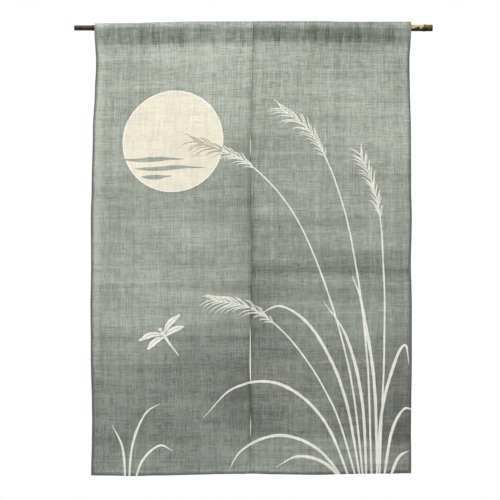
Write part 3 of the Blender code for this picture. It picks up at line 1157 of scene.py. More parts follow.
def mix(tree, factor, first, second, blend="MIX"):
    """Two colours blended by a factor."""
    inputs = {0: factor, 6: first, 7: second}
    return put(tree, "ShaderNodeMix", inputs, data_type="RGBA", blend_type=blend).outputs[2]


def mix_value(tree, factor, first, second):
    """Two numbers blended by a factor."""
    inputs = {0: factor, 2: first, 3: second}
    return put(tree, "ShaderNodeMix", inputs, data_type="FLOAT").outputs[0]


def spread(tree, value, low, high, to_low=0.0, to_high=1.0):
    """A value's range stretched to another one, and held inside it."""
    inputs = {"Value": value, "From Min": low, "From Max": high, "To Min": to_low, "To Max": to_high}
    return put(tree, "ShaderNodeMapRange", inputs, clamp=True).outputs["Result"]


def scaled(tree, vector, scale):
    """A place multiplied by a scale for each direction."""
    inputs = {0: vector, 1: scale}
    return put(tree, "ShaderNodeVectorMath", inputs, operation="MULTIPLY").outputs["Vector"]


def clouds(tree, vector, scale=1.0, detail=2.0, roughness=0.5, flat=True):
    """Noise between 0 and 1."""
    inputs = {"Vector": vector, "Scale": scale, "Detail": detail, "Roughness": roughness}
    kind = "2D" if flat else "3D"
    return put(tree, "ShaderNodeTexNoise", inputs, noise_dimensions=kind).outputs["Fac"]


def ramp(tree, factor, stops):
    """A colour read from a row of stops."""
    node = put(tree, "ShaderNodeValToRGB", {"Fac": factor})
    elements = node.color_ramp.elements
    while len(elements) < len(stops):
        elements.new(0.5)
    for element, (position, colour) in zip(elements, stops):
        element.position = position
        element.color = (*colour, 1.0)
    return node.outputs["Color"]


def new_group(name, ins, outs):
    """An empty shader node group with named sockets."""
    tree = bpy.data.node_groups.new(name, "ShaderNodeTree")
    for label, kind in ins:
        tree.interface.new_socket(label, in_out="INPUT", socket_type=kind)
    for label, kind in outs:
        tree.interface.new_socket(label, in_out="OUTPUT", socket_type=kind)
    return tree, tree.nodes.new("NodeGroupInput").outputs, tree.nodes.new("NodeGroupOutput").inputs


def use_group(tree, group, inputs):
    """Puts a group into a material."""
    return put(tree, "ShaderNodeGroup", inputs, node_tree=group)


def new_material(name):
    """An empty material, its tree and its surface shader."""
    material = bpy.data.materials.new(name)
    material.use_nodes = True
    tree = material.node_tree
    return material, tree, tree.nodes["Principled BSDF"]


def from_srgb(red, green, blue):
    """A colour as a screen shows it, from 0 to 255, turned into the linear one that light follows."""
    shares = [value / 255.0 for value in (red, green, blue)]
    return tuple(c / 12.92 if c <= 0.04045 else ((c + 0.055) / 1.055) ** 2.4 for c in shares)


# %% [markdown]
# ## Hand-woven threads
#
# Hemp yarn is spliced by hand, so it is thick in one place and thin in the next. Seen close, single
# threads differ in shade and swell along their length. From a few steps away the eye sees bundles of
# them: level and upright streaks a few centimetres long, which are stronger towards the sleeve, and
# short dark slubs where a thick stretch of yarn took more dye. The group works on the flat map in
# metres. It numbers the threads of both directions for the close view, and stretches clouds a long way
# in one direction for the rest. Height goes to a Bump node, and the small holes between the threads make
# the cloth a little sheer.

# %% Number the threads of one direction
WARP_PER_METRE = 1250.0
WEFT_PER_METRE = 1120.0
THREAD_WANDER = 0.0022
VALUE, VECTOR = "NodeSocketFloat", "NodeSocketVector"
Yarns = namedtuple("Yarns", "phase profile shade swelling own_place")


def one_direction(tree, across, along, per_metre, seed):
    """Threads side by side: phase, round profile, shade and swelling, and the flat place of each."""
    place = put(tree, "ShaderNodeCombineXYZ", {0: across, 1: along, 2: seed}).outputs[0]
    wander = clouds(tree, scaled(tree, place, (9.0, 14.0, 0.0)), detail=1.0)
    shifted = calc(tree, "ADD", across, calc(tree, "MULTIPLY", wander, THREAD_WANDER))
    phase = calc(tree, "MULTIPLY", shifted, per_metre)
    number = calc(tree, "ADD", calc(tree, "FLOOR", phase), seed)
    profile = calc(tree, "SINE", calc(tree, "MULTIPLY", calc(tree, "FRACT", phase), math.pi))
    shade = put(tree, "ShaderNodeTexWhiteNoise", {"W": number}, noise_dimensions="1D").outputs["Value"]
    length_place = put(tree, "ShaderNodeCombineXYZ", {0: calc(tree, "MULTIPLY", number, 3.71), 1: along})
    swelling = clouds(tree, scaled(tree, length_place.outputs[0], (1.0, 28.0, 0.0)), detail=2.0)
    own_across = calc(tree, "DIVIDE", number, per_metre)
    own_place = put(tree, "ShaderNodeCombineXYZ", {0: own_across, 1: along, 2: seed}).outputs[0]
    return Yarns(phase, profile, shade, swelling, own_place)


# %% Build the threads group
Streak = namedtuple("Streak", "across along detail weight", defaults=(1.0,))
STREAKS = (
    Streak(120.0, 2.2, 3.0, 0.19),
    Streak(330.0, 9.0, 1.0, 0.24),
    Streak(300.0, 42.0, 1.0, 0.22),
)
SLUB = Streak(430.0, 27.0, 1.0)
Strength = namedtuple("Strength", "left left_top right right_top")
WARP_STRENGTH = Strength(0.98, 1.24, 1.18, 1.55)
WEFT_STRENGTH = Strength(0.70, 1.26, 1.10, 1.28)
STRENGTH_START = 0.80
STRENGTH_END = 1.10


def weighted_sum(tree, terms):
    """The sum of values, each times its weight."""
    total = 0.0
    for value, weight in terms:
        total = calc(tree, "MULTIPLY_ADD", value, weight, total)
    return total


def stretched(tree, own_place, streak):
    """Clouds drawn out along the threads."""
    stretch = (streak.across, streak.along, 1.0)
    return clouds(tree, scaled(tree, own_place, stretch), detail=streak.detail, roughness=0.62)


def right_panel_mask(tree, flat):
    """1 on the right panel and 0 on the left one, whose maps lie a metre apart."""
    return spread(tree, flat[0], 0.60, 0.90)


def streak_tone(tree, flat, own_place, strength):
    """Streaks along the threads of one direction, around 0, stronger towards the sleeve."""
    terms = []
    for streak in STREAKS:
        noise = stretched(tree, own_place, streak)
        terms.append((spread(tree, noise, 0.30, 0.70, -1.0, 1.0), streak.weight))
    on_left = spread(tree, flat[1], STRENGTH_START, STRENGTH_END, strength.left, strength.left_top)
    on_right = spread(tree, flat[1], STRENGTH_START, STRENGTH_END, strength.right, strength.right_top)
    here = mix_value(tree, right_panel_mask(tree, flat), on_left, on_right)
    return calc(tree, "MULTIPLY", weighted_sum(tree, terms), here)


def slub_mask(tree, warp_place, weft_place):
    """Sparse short places where the yarn is thick."""
    found = [spread(tree, stretched(tree, place, SLUB), 0.60, 0.70) for place in (warp_place, weft_place)]
    return calc(tree, "MAXIMUM", *found)


def build_threads():
    """The group: hemp threads from a flat map in metres."""
    outs = [("Single", VALUE), ("Streaks", VALUE), ("Slubs", VALUE), ("Height", VALUE), ("Cover", VALUE)]
    tree, given, result = new_group("hemp threads", [("Flat Place", VECTOR)], outs)
    flat = put(tree, "ShaderNodeSeparateXYZ", {0: given["Flat Place"]}).outputs
    warp = one_direction(tree, flat[0], flat[1], WARP_PER_METRE, 3.0)
    weft = one_direction(tree, flat[1], flat[0], WEFT_PER_METRE, 71.0)
    over = calc(tree, "SINE", calc(tree, "MULTIPLY", calc(tree, "ADD", weft.phase, warp.phase), math.pi))
    warp_rise = calc(tree, "MULTIPLY", warp.profile, calc(tree, "MULTIPLY_ADD", over, 0.3, 0.7))
    weft_rise = calc(tree, "MULTIPLY", weft.profile, calc(tree, "MULTIPLY_ADD", over, -0.3, 0.7))
    rise = calc(tree, "MAXIMUM", warp_rise, weft_rise)
    swelling = calc(tree, "ADD", warp.swelling, weft.swelling)
    slubs = slub_mask(tree, warp.own_place, weft.own_place)
    upright = streak_tone(tree, flat, warp.own_place, WARP_STRENGTH)
    streaks = calc(tree, "ADD", upright, streak_tone(tree, flat, weft.own_place, WEFT_STRENGTH))
    height = calc(tree, "MULTIPLY", rise, calc(tree, "MULTIPLY_ADD", swelling, 0.8, 0.3))
    height = weighted_sum(tree, [(height, 1.0), (slubs, 1.1), (streaks, 0.8)])

    single = weighted_sum(tree, [(warp.shade, 0.5), (weft.shade, 0.5), (swelling, 0.5)])
    beside_warp = calc(tree, "SUBTRACT", 1.0, warp.profile)
    beside_weft = calc(tree, "SUBTRACT", 1.0, weft.profile)
    hole = calc(tree, "MULTIPLY", beside_warp, beside_weft)
    cover = calc(tree, "SUBTRACT", 1.0, hole, clamp=True)
    for name, value in (("Single", single), ("Streaks", streaks), ("Slubs", slubs), ("Height", height)):
        tree.links.new(value, result[name])
    tree.links.new(cover, result["Cover"])
    return tree


threads_group = build_threads()
print("threads group:", len(threads_group.nodes), "nodes")

# %% [markdown]
# ## Dye
#
# The bath took unevenly. It is lighter under the sleeve and deeper towards the hem. Low down near the
# right edge it is deeper still, which is painted shade above the right panel's lowest crease. Beside the
# slit it is deeper too, but paler at the hem. A table gives the depth of dye up each panel, in metres from
# the hem's fold, and the ramp that reads it blends smoothly between its rows. Clouds are added to the depth
# and not to the colour, so every shade on the cloth is one that this dye can give. The table's last column
# says where the dye leans to a warmer or a cooler green.

# %% Build the dye group
DyeDepth = namedtuple("DyeDepth", "height left right warmth")
DYE_DEPTHS = (
    DyeDepth(0.000, 0.56, 0.56, 0.10),
    DyeDepth(0.065, 0.76, 0.50, 0.34),
    # In the right column, the depth at 0.130 holds painted shade above the right panel's lowest crease.
    DyeDepth(0.130, 0.75, 0.74, 0.48),
    DyeDepth(0.190, 0.74, 0.70, 0.50),
    DyeDepth(0.320, 0.58, 0.66, 0.42),
    DyeDepth(0.410, 0.38, 0.55, 0.28),
    DyeDepth(0.560, 0.34, 0.54, 0.50),
    DyeDepth(0.650, 0.36, 0.44, 0.55),
    DyeDepth(0.715, 0.39, 0.29, 0.54),
    DyeDepth(0.780, 0.37, 0.36, 0.50),
    DyeDepth(0.960, 0.21, 0.26, 0.60),
    DyeDepth(1.120, 0.25, 0.31, 0.52),
    DyeDepth(1.148, 0.31, 0.45, 0.14),
)
DYE_COLOURS = (
    (0.0, from_srgb(186, 191, 182)),
    (0.5, from_srgb(143, 149, 140)),
    (1.0, from_srgb(98, 102, 95)),
    (1.3, from_srgb(72, 75, 70)),
)
DEEPEST_DYE = 1.3
# Strength of the painted shade low down near the right edge.
CORNER_PAINTED_SHADE = 0.33
SLIT_DEPTH = 0.19
SLIT_REACH = 0.15
SLIT_WARMTH = 0.25
WARMTH_ON_RIGHT = 0.22
CLOUDING = (
    ((5.0, 6.0, 1.0), 2.0, 0.09),
    ((2.6, 26.0, 1.0), 3.0, 0.10),
    ((38.0, 2.0, 1.0), 3.0, 0.05),
    ((42.0, 46.0, 1.0), 3.0, 0.055),
)
CLOTH_LENGTH = END_V


def near_slit(tree, flat):
    """The deeper dye towards the line where the panels meet, which turns paler low down."""
    to_left = calc(tree, "ABSOLUTE", calc(tree, "SUBTRACT", flat[0], PANEL_WIDTH["left"]))
    to_right = calc(tree, "ABSOLUTE", calc(tree, "SUBTRACT", flat[0], UV_SHIFT["right"]))
    away = calc(tree, "MINIMUM", to_left, to_right)
    off_hem = spread(tree, flat[1], 0.07, 0.16, -0.9, 1.0)
    off_sleeve = spread(tree, flat[1], 1.05, 0.85)
    strength = calc(tree, "MULTIPLY", off_hem, off_sleeve)
    return calc(tree, "MULTIPLY", spread(tree, away, 0.0, SLIT_REACH, 1.0, 0.0), strength)


def by_height(tree, height, column):
    """One column of the dye's table, read at a height."""
    node = put(tree, "ShaderNodeValToRGB", {"Fac": height})
    node.color_ramp.interpolation = "EASE"
    elements = node.color_ramp.elements
    while len(elements) < len(DYE_DEPTHS):
        elements.new(0.5)
    for element, row in zip(elements, DYE_DEPTHS):
        value = getattr(row, column)
        element.position = row.height / CLOTH_LENGTH
        element.color = (value, value, value, 1.0)
    return node.outputs["Color"]


def build_dye():
    """The group: the depth of dye, its clouding and its warmth, on the flat map in metres."""
    outs = [("Depth", VALUE), ("Clouding", VALUE), ("Warmth", VALUE)]
    tree, given, result = new_group("hemp dye", [("Flat Place", VECTOR)], outs)
    flat = put(tree, "ShaderNodeSeparateXYZ", {0: given["Flat Place"]}).outputs
    height = calc(tree, "DIVIDE", flat[1], CLOTH_LENGTH)
    on_right = right_panel_mask(tree, flat)
    depth = mix_value(tree, on_right, by_height(tree, height, "left"), by_height(tree, height, "right"))
    # Painted shade above the right panel's lowest crease, deepest towards the right edge.
    right_edge = spread(tree, flat[0], UV_SHIFT["right"] + 0.17, UV_SHIFT["right"] + 0.40)
    low_down = spread(tree, flat[1], 0.60, 0.13)
    off_hem = spread(tree, flat[1], 0.05, 0.12, 0.5, 1.0)
    lower_part = calc(tree, "MULTIPLY", low_down, off_hem)
    corner = calc(tree, "MULTIPLY", calc(tree, "MULTIPLY", right_edge, right_edge), lower_part)
    slit_side = near_slit(tree, flat)
    terms = []
    for stretch, detail, weight in CLOUDING:
        noise = clouds(tree, scaled(tree, given["Flat Place"], stretch), detail=detail, roughness=0.64)
        terms.append((spread(tree, noise, 0.31, 0.69, -1.0, 1.0), weight))
    clouding = weighted_sum(tree, terms)
    terms = [(depth, 1.0), (corner, CORNER_PAINTED_SHADE), (slit_side, SLIT_DEPTH), (clouding, 1.0)]
    tree.links.new(weighted_sum(tree, terms), result["Depth"])
    tree.links.new(clouding, result["Clouding"])
    noise = clouds(tree, scaled(tree, given["Flat Place"], (9.0, 17.0, 1.0)), detail=4.0, roughness=0.7)
    warmth_on_left = spread(tree, flat[1], 0.35, 0.90, -0.15, 0.28)
    panel_warmth = mix_value(tree, on_right, warmth_on_left, WARMTH_ON_RIGHT)
    band_warmth = calc(tree, "SUBTRACT", by_height(tree, height, "warmth"), 0.5)
    terms = [(panel_warmth, 1.0), (spread(tree, noise, 0.34, 0.66), 1.0)]
    terms += [(band_warmth, 1.0), (slit_side, SLIT_WARMTH)]
    tree.links.new(weighted_sum(tree, terms), result["Warmth"])
    return tree


dye_group = build_dye()
print("dye group:", len(dye_group.nodes), "nodes")

# %% [markdown]
# ## The hemp
#
# The material puts the two groups together. The numbers cut into the mesh choose between dyed ground,
# free line, pale patch and the darker line across it. Round the moon a thin light rim and a soft dark
# halo show where the paste held the dye back. Finished edges are darker: painted shade along the turned
# edges, the hem's fold and where the panels meet, with dye gathered where the cloth is doubled. The mesh's
# other number, the fold, paints shade along the creases and light and shade beside the slit, and the
# sleeve has painted shade in soft smudges where it lies on the pole. The threads shade everything, raise the
# surface through Bump, and open it where they leave a gap.

# %% Mark the special places of the hemp
# Widths of the painted shade along the outer edges, the hem's fold and the inner edges.
EDGE_SHADE_WIDTH = 0.0095
HEM_FOLD_SHADE_WIDTH = 0.0100
INNER_EDGE_SHADE_WIDTH = 0.0026
RIM_WIDTH = 0.0030
HALO_WIDTH = 0.0110
PALE_STRIP_PLACE = 0.0160
PALE_STRIP_WIDTH = 0.0130
# How ragged the lower ends of the painted shade on the sleeve are.
SLEEVE_SHADE_RAGGEDNESS = 0.0300


def near_line(tree, value, place, width, core=0.2):
    """1 on a line, falling to 0 at a distance, with a core of full strength."""
    away = calc(tree, "ABSOLUTE", calc(tree, "SUBTRACT", value, place))
    return spread(tree, away, width * core, width, 1.0, 0.0)


def edge_shade_and_marks(tree, flat_place):
    """Masks: painted shade at the outer edges and hem's fold and at the inner edges; bottom hem; a pale
    strip at the left.
    """
    flat = put(tree, "ShaderNodeSeparateXYZ", {0: flat_place}).outputs
    right_start = UV_SHIFT["right"]
    left_edge_shade = near_line(tree, flat[0], 0.0, EDGE_SHADE_WIDTH)
    right_edge_shade = near_line(tree, flat[0], right_start + PANEL_WIDTH["right"], EDGE_SHADE_WIDTH)
    below_sleeve = spread(tree, flat[1], SEAM_V - 0.006, SEAM_V + 0.010, 1.0, 0.2)
    sides = calc(tree, "MULTIPLY", calc(tree, "MAXIMUM", left_edge_shade, right_edge_shade), below_sleeve)
    outer = calc(tree, "MAXIMUM", sides, near_line(tree, flat[1], 0.0, HEM_FOLD_SHADE_WIDTH, 0.15))
    left_inner_edge_shade = near_line(tree, flat[0], PANEL_WIDTH["left"], INNER_EDGE_SHADE_WIDTH, 0.6)
    right_inner_edge_shade = near_line(tree, flat[0], right_start, INNER_EDGE_SHADE_WIDTH, 0.6)
    hem = spread(tree, flat[1], BOTTOM_HEM * 0.6, BOTTOM_HEM * 1.3, 1.0, 0.0)
    strip = near_line(tree, flat[0], PALE_STRIP_PLACE, PALE_STRIP_WIDTH)
    strip = calc(tree, "MULTIPLY", strip, spread(tree, flat[1], 0.24, 0.33))
    return outer, calc(tree, "MAXIMUM", left_inner_edge_shade, right_inner_edge_shade), hem, strip


def sleeve_painted_shade(tree, flat_place):
    """Painted shade in soft upright smudges on the sleeve where it lies on the pole, with ragged lower ends.
    """
    flat = put(tree, "ShaderNodeSeparateXYZ", {0: flat_place}).outputs
    shade_clouds = clouds(tree, scaled(tree, flat_place, (34.0, 8.0, 1.0)), detail=3.0, roughness=0.6)
    streak = clouds(tree, scaled(tree, flat_place, (190.0, 12.0, 1.0)), detail=2.0, roughness=0.5)
    around_zero = calc(tree, "SUBTRACT", calc(tree, "ADD", shade_clouds, streak), 1.0)
    ragged = calc(tree, "MULTIPLY_ADD", around_zero, SLEEVE_SHADE_RAGGEDNESS, flat[1])
    level = spread(tree, ragged, SEAM_V - 0.010, SEAM_V + 0.010)
    top = spread(tree, flat[1], FOLD_V - 0.038, FOLD_V - 0.002, 1.0, 0.10)
    strength = calc(tree, "MULTIPLY", spread(tree, shade_clouds, 0.36, 0.66), spread(tree, streak, 0.25, 0.60))
    return calc(tree, "MULTIPLY", calc(tree, "MULTIPLY", level, top), strength)


def moon_bands(tree, flat_place):
    """The light rim inside the moon's edge and the dark halo outside it."""
    centre = (MOON_CENTRE[0] - CURTAIN_LEFT, MOON_CENTRE[1] - HEM_LEVEL, 0.0)
    inputs = {0: flat_place, 1: centre}
    away = put(tree, "ShaderNodeVectorMath", inputs, operation="DISTANCE").outputs["Value"]
    rim = spread(tree, away, MOON_RADIUS - RIM_WIDTH * 1.3, MOON_RADIUS - RIM_WIDTH * 0.7)
    outside = spread(tree, away, MOON_RADIUS, MOON_RADIUS + HALO_WIDTH, 1.0, 0.0)
    halo = calc(tree, "MULTIPLY", outside, calc(tree, "GREATER_THAN", away, MOON_RADIUS))
    return rim, halo


def is_number(tree, value, number):
    """1 where the number cut into the mesh is this one."""
    return calc(tree, "COMPARE", value, number, 0.25)


def grey(tree, value):
    """A number as a colour, for multiplying another colour by it."""
    return put(tree, "ShaderNodeCombineColor", {0: value, 1: value, 2: value}).outputs["Color"]


# %% Make the hemp
WARM_TINT = (1.006, 0.999, 0.950)
COOL_TINT = (0.982, 1.006, 1.002)
FREE_COLOUR = from_srgb(236, 235, 223)
PATCH_COLOUR = from_srgb(236, 229, 208)
PATCH_LINE_COLOUR = from_srgb(182, 172, 150)
RIM_COLOUR = from_srgb(246, 244, 236)
THREAD_CONTRAST = 0.34
BARE_SHARE = 0.62


def dyed_ground(tree, dye, threads, marks):
    """The colour of the dyed cloth."""
    outer, inner, hem, strip, sleeve, halo, fold = marks
    # The sleeve term below adds painted shade in smudges on the sleeve where it lies on the pole.
    terms = [(dye["Depth"], 1.0), (threads["Streaks"], -0.23), (threads["Slubs"], 0.26)]
    # The fold term adds painted shade along the creases, and painted light and painted shade beside the
    # slit.
    terms += [(inner, 0.20), (hem, -0.14), (strip, -0.20), (sleeve, 0.40), (halo, 0.10), (fold, 0.20)]
    depth = weighted_sum(tree, terms)
    # Painted shade along the outer edges and the hem's fold, with dye gathered in the doubled cloth; the
    # inner term above is painted shade where the panels meet.
    with_edge_shade = calc(tree, "MINIMUM", calc(tree, "MULTIPLY_ADD", outer, 0.70, depth), 1.0)
    depth = calc(tree, "MAXIMUM", depth, with_edge_shade)
    stops = [(place / DEEPEST_DYE, colour) for place, colour in DYE_COLOURS]
    colour = ramp(tree, calc(tree, "DIVIDE", depth, DEEPEST_DYE), stops)
    tint = mix(tree, dye["Warmth"], (*COOL_TINT, 1.0), (*WARM_TINT, 1.0))
    colour = mix(tree, 1.0, colour, tint, "MULTIPLY")
    single = calc(tree, "SUBTRACT", threads["Single"], 1.0)
    shade = calc(tree, "MULTIPLY_ADD", single, THREAD_CONTRAST, 1.0)
    return mix(tree, 1.0, colour, grey(tree, shade), "MULTIPLY")


def bare_picture(tree, dye, threads, picture, rim):
    """The colour of the parts that the paste kept free."""
    patch = mix(tree, rim, (*PATCH_COLOUR, 1.0), (*RIM_COLOUR, 1.0))
    bare = mix(tree, is_number(tree, picture, PALE_PATCH), (*FREE_COLOUR, 1.0), patch)
    bare = mix(tree, is_number(tree, picture, PATCH_LINE), bare, (*PATCH_LINE_COLOUR, 1.0))
    terms = [(threads["Streaks"], 0.20), (threads["Slubs"], -0.22), (dye["Clouding"], -0.5)]
    shade = calc(tree, "MULTIPLY_ADD", weighted_sum(tree, terms), BARE_SHARE, 1.0)
    return mix(tree, 1.0, bare, grey(tree, shade), "MULTIPLY")


def make_hemp():
    """Dyed hand-woven hemp with the picture left free."""
    material, tree, surface = new_material("dyed_hemp")
    flat_place = put(tree, "ShaderNodeUVMap", uv_map="flat_cloth").outputs["UV"]
    picture = put(tree, "ShaderNodeAttribute", attribute_name="picture").outputs["Fac"]
    # fold carries painted shade along the creases, and painted light and painted shade beside the slit.
    fold = put(tree, "ShaderNodeAttribute", attribute_name="fold").outputs["Fac"]
    threads = use_group(tree, threads_group, {"Flat Place": flat_place}).outputs
    dye = use_group(tree, dye_group, {"Flat Place": flat_place}).outputs
    rim, halo = moon_bands(tree, flat_place)
    # The marks include painted shade along the edges, on the sleeve and along the creases.
    marks = (*edge_shade_and_marks(tree, flat_place), sleeve_painted_shade(tree, flat_place), halo, fold)
    is_bare = calc(tree, "GREATER_THAN", picture, 0.5)
    dyed = dyed_ground(tree, dye, threads, marks)
    bare = bare_picture(tree, dye, threads, picture, rim)
    colour = mix(tree, is_bare, dyed, bare)
    tree.links.new(colour, surface.inputs["Base Color"])

    bump = put(tree, "ShaderNodeBump", {"Height": threads["Height"], "Strength": 0.7, "Distance": 0.00024})
    tree.links.new(bump.outputs["Normal"], surface.inputs["Normal"])
    tree.links.new(threads["Cover"], surface.inputs["Alpha"])
    surface.inputs["Roughness"].default_value = 0.88
    surface.inputs["Specular IOR Level"].default_value = 0.20
    surface.inputs["Sheen Weight"].default_value = 0.06
    surface.inputs["Sheen Roughness"].default_value = 0.5
    return material


hemp = make_hemp()
for panel in (left_panel, right_panel):
    panel.data.materials.clear()
    panel.data.materials.append(hemp)
print("hemp material:", len(hemp.node_tree.nodes), "nodes")

# %% [markdown]
# ## The sewing thread
#
# The thread is ordinary cotton in the cloth's colour. It is two strands twisted together, which a slanted
# wave shows well enough at this size.

# %% Make the sewing thread
def make_thread():
    """Twisted cotton thread."""
    material, tree, surface = new_material("sewing_thread")
    place = put(tree, "ShaderNodeTexCoord").outputs["Object"]
    slanted = scaled(tree, place, (1500.0, 900.0, 1500.0))
    inputs = {"Vector": slanted, "Scale": 1.0, "Distortion": 1.5}
    twist = put(tree, "ShaderNodeTexWave", inputs).outputs["Fac"]
    tint = clouds(tree, place, scale=60.0, detail=2.0, flat=False)
    dark, light = from_srgb(118, 124, 116), from_srgb(172, 176, 162)
    colour = mix(tree, tint, (*dark, 1.0), (*light, 1.0))
    colour = mix(tree, calc(tree, "MULTIPLY", twist, 0.25), colour, (*dark, 1.0))
    tree.links.new(colour, surface.inputs["Base Color"])
    bump = put(tree, "ShaderNodeBump", {"Height": twist, "Strength": 0.5, "Distance": 0.0001})
    tree.links.new(bump.outputs["Normal"], surface.inputs["Normal"])
    surface.inputs["Roughness"].default_value = 0.75
    return material


thread = make_thread()
for piece in (left_sewing, right_sewing, seam_sewing):
    piece.data.materials.append(thread)

# %% [markdown]
# ## The bamboo
#
# The pole is smoked bamboo. Its skin is hard and satin, golden where it is clean and dark brown where
# smoke and age have worked in. The left end is brown all over, and the right end is golden with dark
# blotches, then brown past its last joint. The blotches spread over the lower side as painted shade, so it
# turns nearly black. Fine fibres run along the pole, and grime sits in the groove of each joint. The saw
# cuts at the ends show the fibre bundles as dark dots.

# %% Build the bamboo skin group
JOINT_GRIME_REACH = 0.0036
# How far painted shade spreads the dark blotches over the lower side of the pole.
UNDERSIDE_PAINTED_SHADE = 34.0
GROOVE_OFFSET = 0.001


def build_skin():
    """The group: fibres along X, dark blotches that spread over the lower side as painted shade, and grime
    at the joints, from object places.
    """
    outs = [("Fibre", VALUE), ("Blotch And Shade", VALUE), ("Grime", VALUE)]
    tree, given, result = new_group("bamboo skin", [("Place", VECTOR)], outs)
    fibre = clouds(tree, scaled(tree, given["Place"], (14.0, 900.0, 900.0)), detail=3.0, flat=False)
    tree.links.new(fibre, result["Fibre"])
    slanted = put(tree, "ShaderNodeMapping", {"Vector": given["Place"], "Rotation": (0.0, 0.55, 0.0)})
    blotch_place = scaled(tree, slanted.outputs[0], (95.0, 260.0, 170.0))
    blotch = clouds(tree, blotch_place, detail=3.0, roughness=0.55, flat=False)
    parts = put(tree, "ShaderNodeSeparateXYZ", {0: given["Place"]}).outputs
    # Painted shade: the lower the place on the pole, the more of it the dark blotches cover.
    painted_underside_shade = calc(tree, "MULTIPLY", parts[2], -UNDERSIDE_PAINTED_SHADE)
    tree.links.new(spread(tree, calc(tree, "ADD", blotch, painted_underside_shade), 0.44, 0.56), result["Blotch And Shade"])
    nearest = None
    for joint in JOINT_PLACES:
        away = calc(tree, "ABSOLUTE", calc(tree, "SUBTRACT", parts[0], joint + GROOVE_OFFSET))
        nearest = away if nearest is None else calc(tree, "MINIMUM", nearest, away)
    tree.links.new(spread(tree, nearest, 0.0, JOINT_GRIME_REACH, 1.0, 0.0), result["Grime"])
    return tree


skin_group = build_skin()
print("bamboo skin group:", len(skin_group.nodes), "nodes")


# %% Make the bamboo
BROWN_UP_TO = -0.30
GOLDEN_FROM = 0.38


def sawn_end(tree, place):
    """The cut end of the culm, with its fibre bundles as dark dots."""
    dots = put(tree, "ShaderNodeTexVoronoi", {"Vector": place, "Scale": 1100.0}).outputs["Distance"]
    bundle = spread(tree, dots, 0.20, 0.42)
    return mix(tree, bundle, (*from_srgb(84, 62, 36), 1.0), (*from_srgb(190, 166, 124), 1.0))


def make_bamboo():
    """Smoked bamboo, brown at the left and golden at the right, with dotted saw cuts."""
    material, tree, surface = new_material("smoked_bamboo")
    place = put(tree, "ShaderNodeTexCoord").outputs["Object"]
    skin = use_group(tree, skin_group, {"Place": place}).outputs
    along = put(tree, "ShaderNodeSeparateXYZ", {0: place}).outputs[0]
    fibre = spread(tree, skin["Fibre"], 0.25, 0.75)
    brown = mix(tree, fibre, (*from_srgb(44, 28, 12), 1.0), (*from_srgb(94, 74, 48), 1.0))
    golden = mix(tree, fibre, (*from_srgb(166, 144, 96), 1.0), (*from_srgb(202, 190, 150), 1.0))
    tip = mix(tree, fibre, (*from_srgb(92, 74, 46), 1.0), (*from_srgb(134, 116, 88), 1.0))
    dark = mix(tree, fibre, (*from_srgb(20, 12, 3), 1.0), (*from_srgb(42, 29, 11), 1.0))
    past_joint = spread(tree, along, JOINT_PLACES[-1] - 0.001, JOINT_PLACES[-1] + 0.001)
    to_right = spread(tree, along, BROWN_UP_TO, GOLDEN_FROM)
    clean = mix(tree, to_right, brown, mix(tree, past_joint, golden, tip))
    # The blotch input also carries painted shade on the lower side of the pole.
    blotch_and_shade_share = spread(tree, along, BROWN_UP_TO, GOLDEN_FROM, 0.50, 0.97)
    blotch_and_shade = calc(tree, "MULTIPLY", skin["Blotch And Shade"], blotch_and_shade_share)
    with_blotches_and_shade = mix(tree, blotch_and_shade, clean, dark)
    grimy = mix(tree, calc(tree, "MULTIPLY", skin["Grime"], 0.8), with_blotches_and_shade, dark)

    facing = put(tree, "ShaderNodeSeparateXYZ", {0: put(tree, "ShaderNodeNewGeometry").outputs["Normal"]})
    cut_end = spread(tree, calc(tree, "ABSOLUTE", facing.outputs[0]), 0.75, 0.95)
    tree.links.new(mix(tree, cut_end, grimy, sawn_end(tree, place)), surface.inputs["Base Color"])
    rough = mix_value(tree, cut_end, spread(tree, fibre, 0.2, 0.8, 0.36, 0.54), 0.85)
    tree.links.new(rough, surface.inputs["Roughness"])
    bump = put(tree, "ShaderNodeBump", {"Height": fibre, "Strength": 0.35, "Distance": 0.0003})
    tree.links.new(bump.outputs["Normal"], surface.inputs["Normal"])
    surface.inputs["Specular IOR Level"].default_value = 0.18
    return material


bamboo = make_bamboo()
bamboo_pole.data.materials.clear()
bamboo_pole.data.materials.append(bamboo)
print("bamboo material:", len(bamboo.node_tree.nodes), "nodes")

# %% [markdown]
# ## Attach the pieces to the body
#
# Every piece rides on the model's one body and stands for a solid or lies on it. The imported
# solids of the panels and the pole are hidden, so only the pieces made here show.

for side, panel, sewing in (("left", left_panel, left_sewing), ("right", right_panel, right_sewing)):
    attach(panel, "root")
    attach(sewing, "root")
    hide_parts(f"panel_{side}")
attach(seam_sewing, "root")
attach(bamboo_pole, "root")
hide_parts("pole")

# %% [markdown]
# ## Floor and light
#
# The photograph's ground is pure white, so the world is white to the camera and a softer white to
# everything else. The main light is a large panel above and to the left of the camera. It comes in low
# enough to show the creases. A weaker one fills from the right. A pale round floor lies under the
# picture, for the other views.

# %% Set the floor, the world and the lights
FLOOR_LEVEL = -1.950
FLOOR_RADIUS = 2.30
WORLD_LIGHT_BELOW = 0.22
WORLD_LIGHT_ABOVE = 0.70


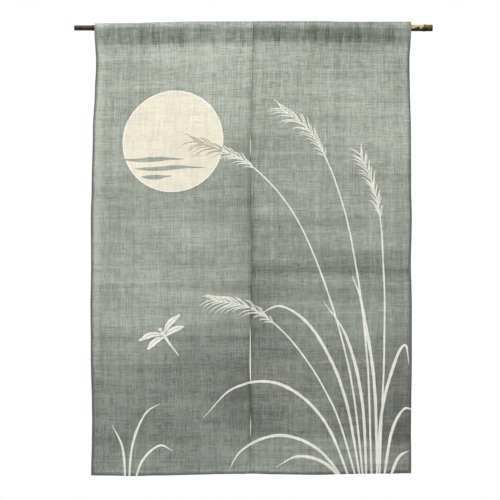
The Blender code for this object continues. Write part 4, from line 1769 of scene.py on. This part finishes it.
def make_floor():
    """A pale floor with a faint grain."""
    start_clean()
    bpy.ops.mesh.primitive_circle_add(vertices=128, radius=FLOOR_RADIUS, fill_type="NGON")
    floor = bpy.context.active_object
    floor.name = "floor"
    floor.location = (0.0, 0.0, FLOOR_LEVEL)
    material, tree, surface = new_material("pale_floor")
    place = put(tree, "ShaderNodeTexCoord").outputs["Object"]
    grain = clouds(tree, place, scale=3.0, detail=4.0, flat=False)
    colour = mix(tree, grain, (0.66, 0.66, 0.65, 1.0), (0.74, 0.74, 0.73, 1.0))
    tree.links.new(colour, surface.inputs["Base Color"])
    surface.inputs["Roughness"].default_value = 0.8
    floor.data.materials.append(material)


def make_world():
    """White to the camera, and a softer white as light, which is dimmer from below."""
    world = bpy.data.worlds.new("studio")
    world.use_nodes = True
    tree = world.node_tree
    background = tree.nodes["Background"]
    direction = put(tree, "ShaderNodeTexCoord").outputs["Generated"]
    height = put(tree, "ShaderNodeSeparateXYZ", {0: direction}).outputs[2]
    light = spread(tree, height, -0.6, 0.6, WORLD_LIGHT_BELOW, WORLD_LIGHT_ABOVE)
    is_camera = put(tree, "ShaderNodeLightPath").outputs["Is Camera Ray"]
    background.inputs["Color"].default_value = (1.0, 1.0, 1.0, 1.0)
    tree.links.new(mix_value(tree, is_camera, light, 1.0), background.inputs["Strength"])
    bpy.context.scene.world = world


def make_light(name, place, aim, size, power):
    """A square soft light that looks at a point."""
    data = bpy.data.lights.new(name, "AREA")
    data.size = size
    data.energy = power
    light = bpy.data.objects.new(name, data)
    light.location = place
    light.rotation_euler = (Vector(aim) - Vector(place)).to_track_quat("-Z", "Y").to_euler()
    bpy.context.scene.collection.objects.link(light)
    print(name, "shines with", power, "watts")


make_floor()
make_world()
make_light("main_light", (-1.00, -1.90, 1.90), (0.0, 0.0, -0.50), 1.2, 78.0)
make_light("fill_light", (2.00, -2.60, -0.20), (0.0, 0.0, -0.60), 1.6, 14.0)
make_light("back_light", (0.60, 2.60, 1.20), (0.0, 0.0, -0.60), 1.6, 34.0)
bpy.context.scene.view_settings.view_transform = "Standard"
bpy.context.scene.view_settings.look = "None"
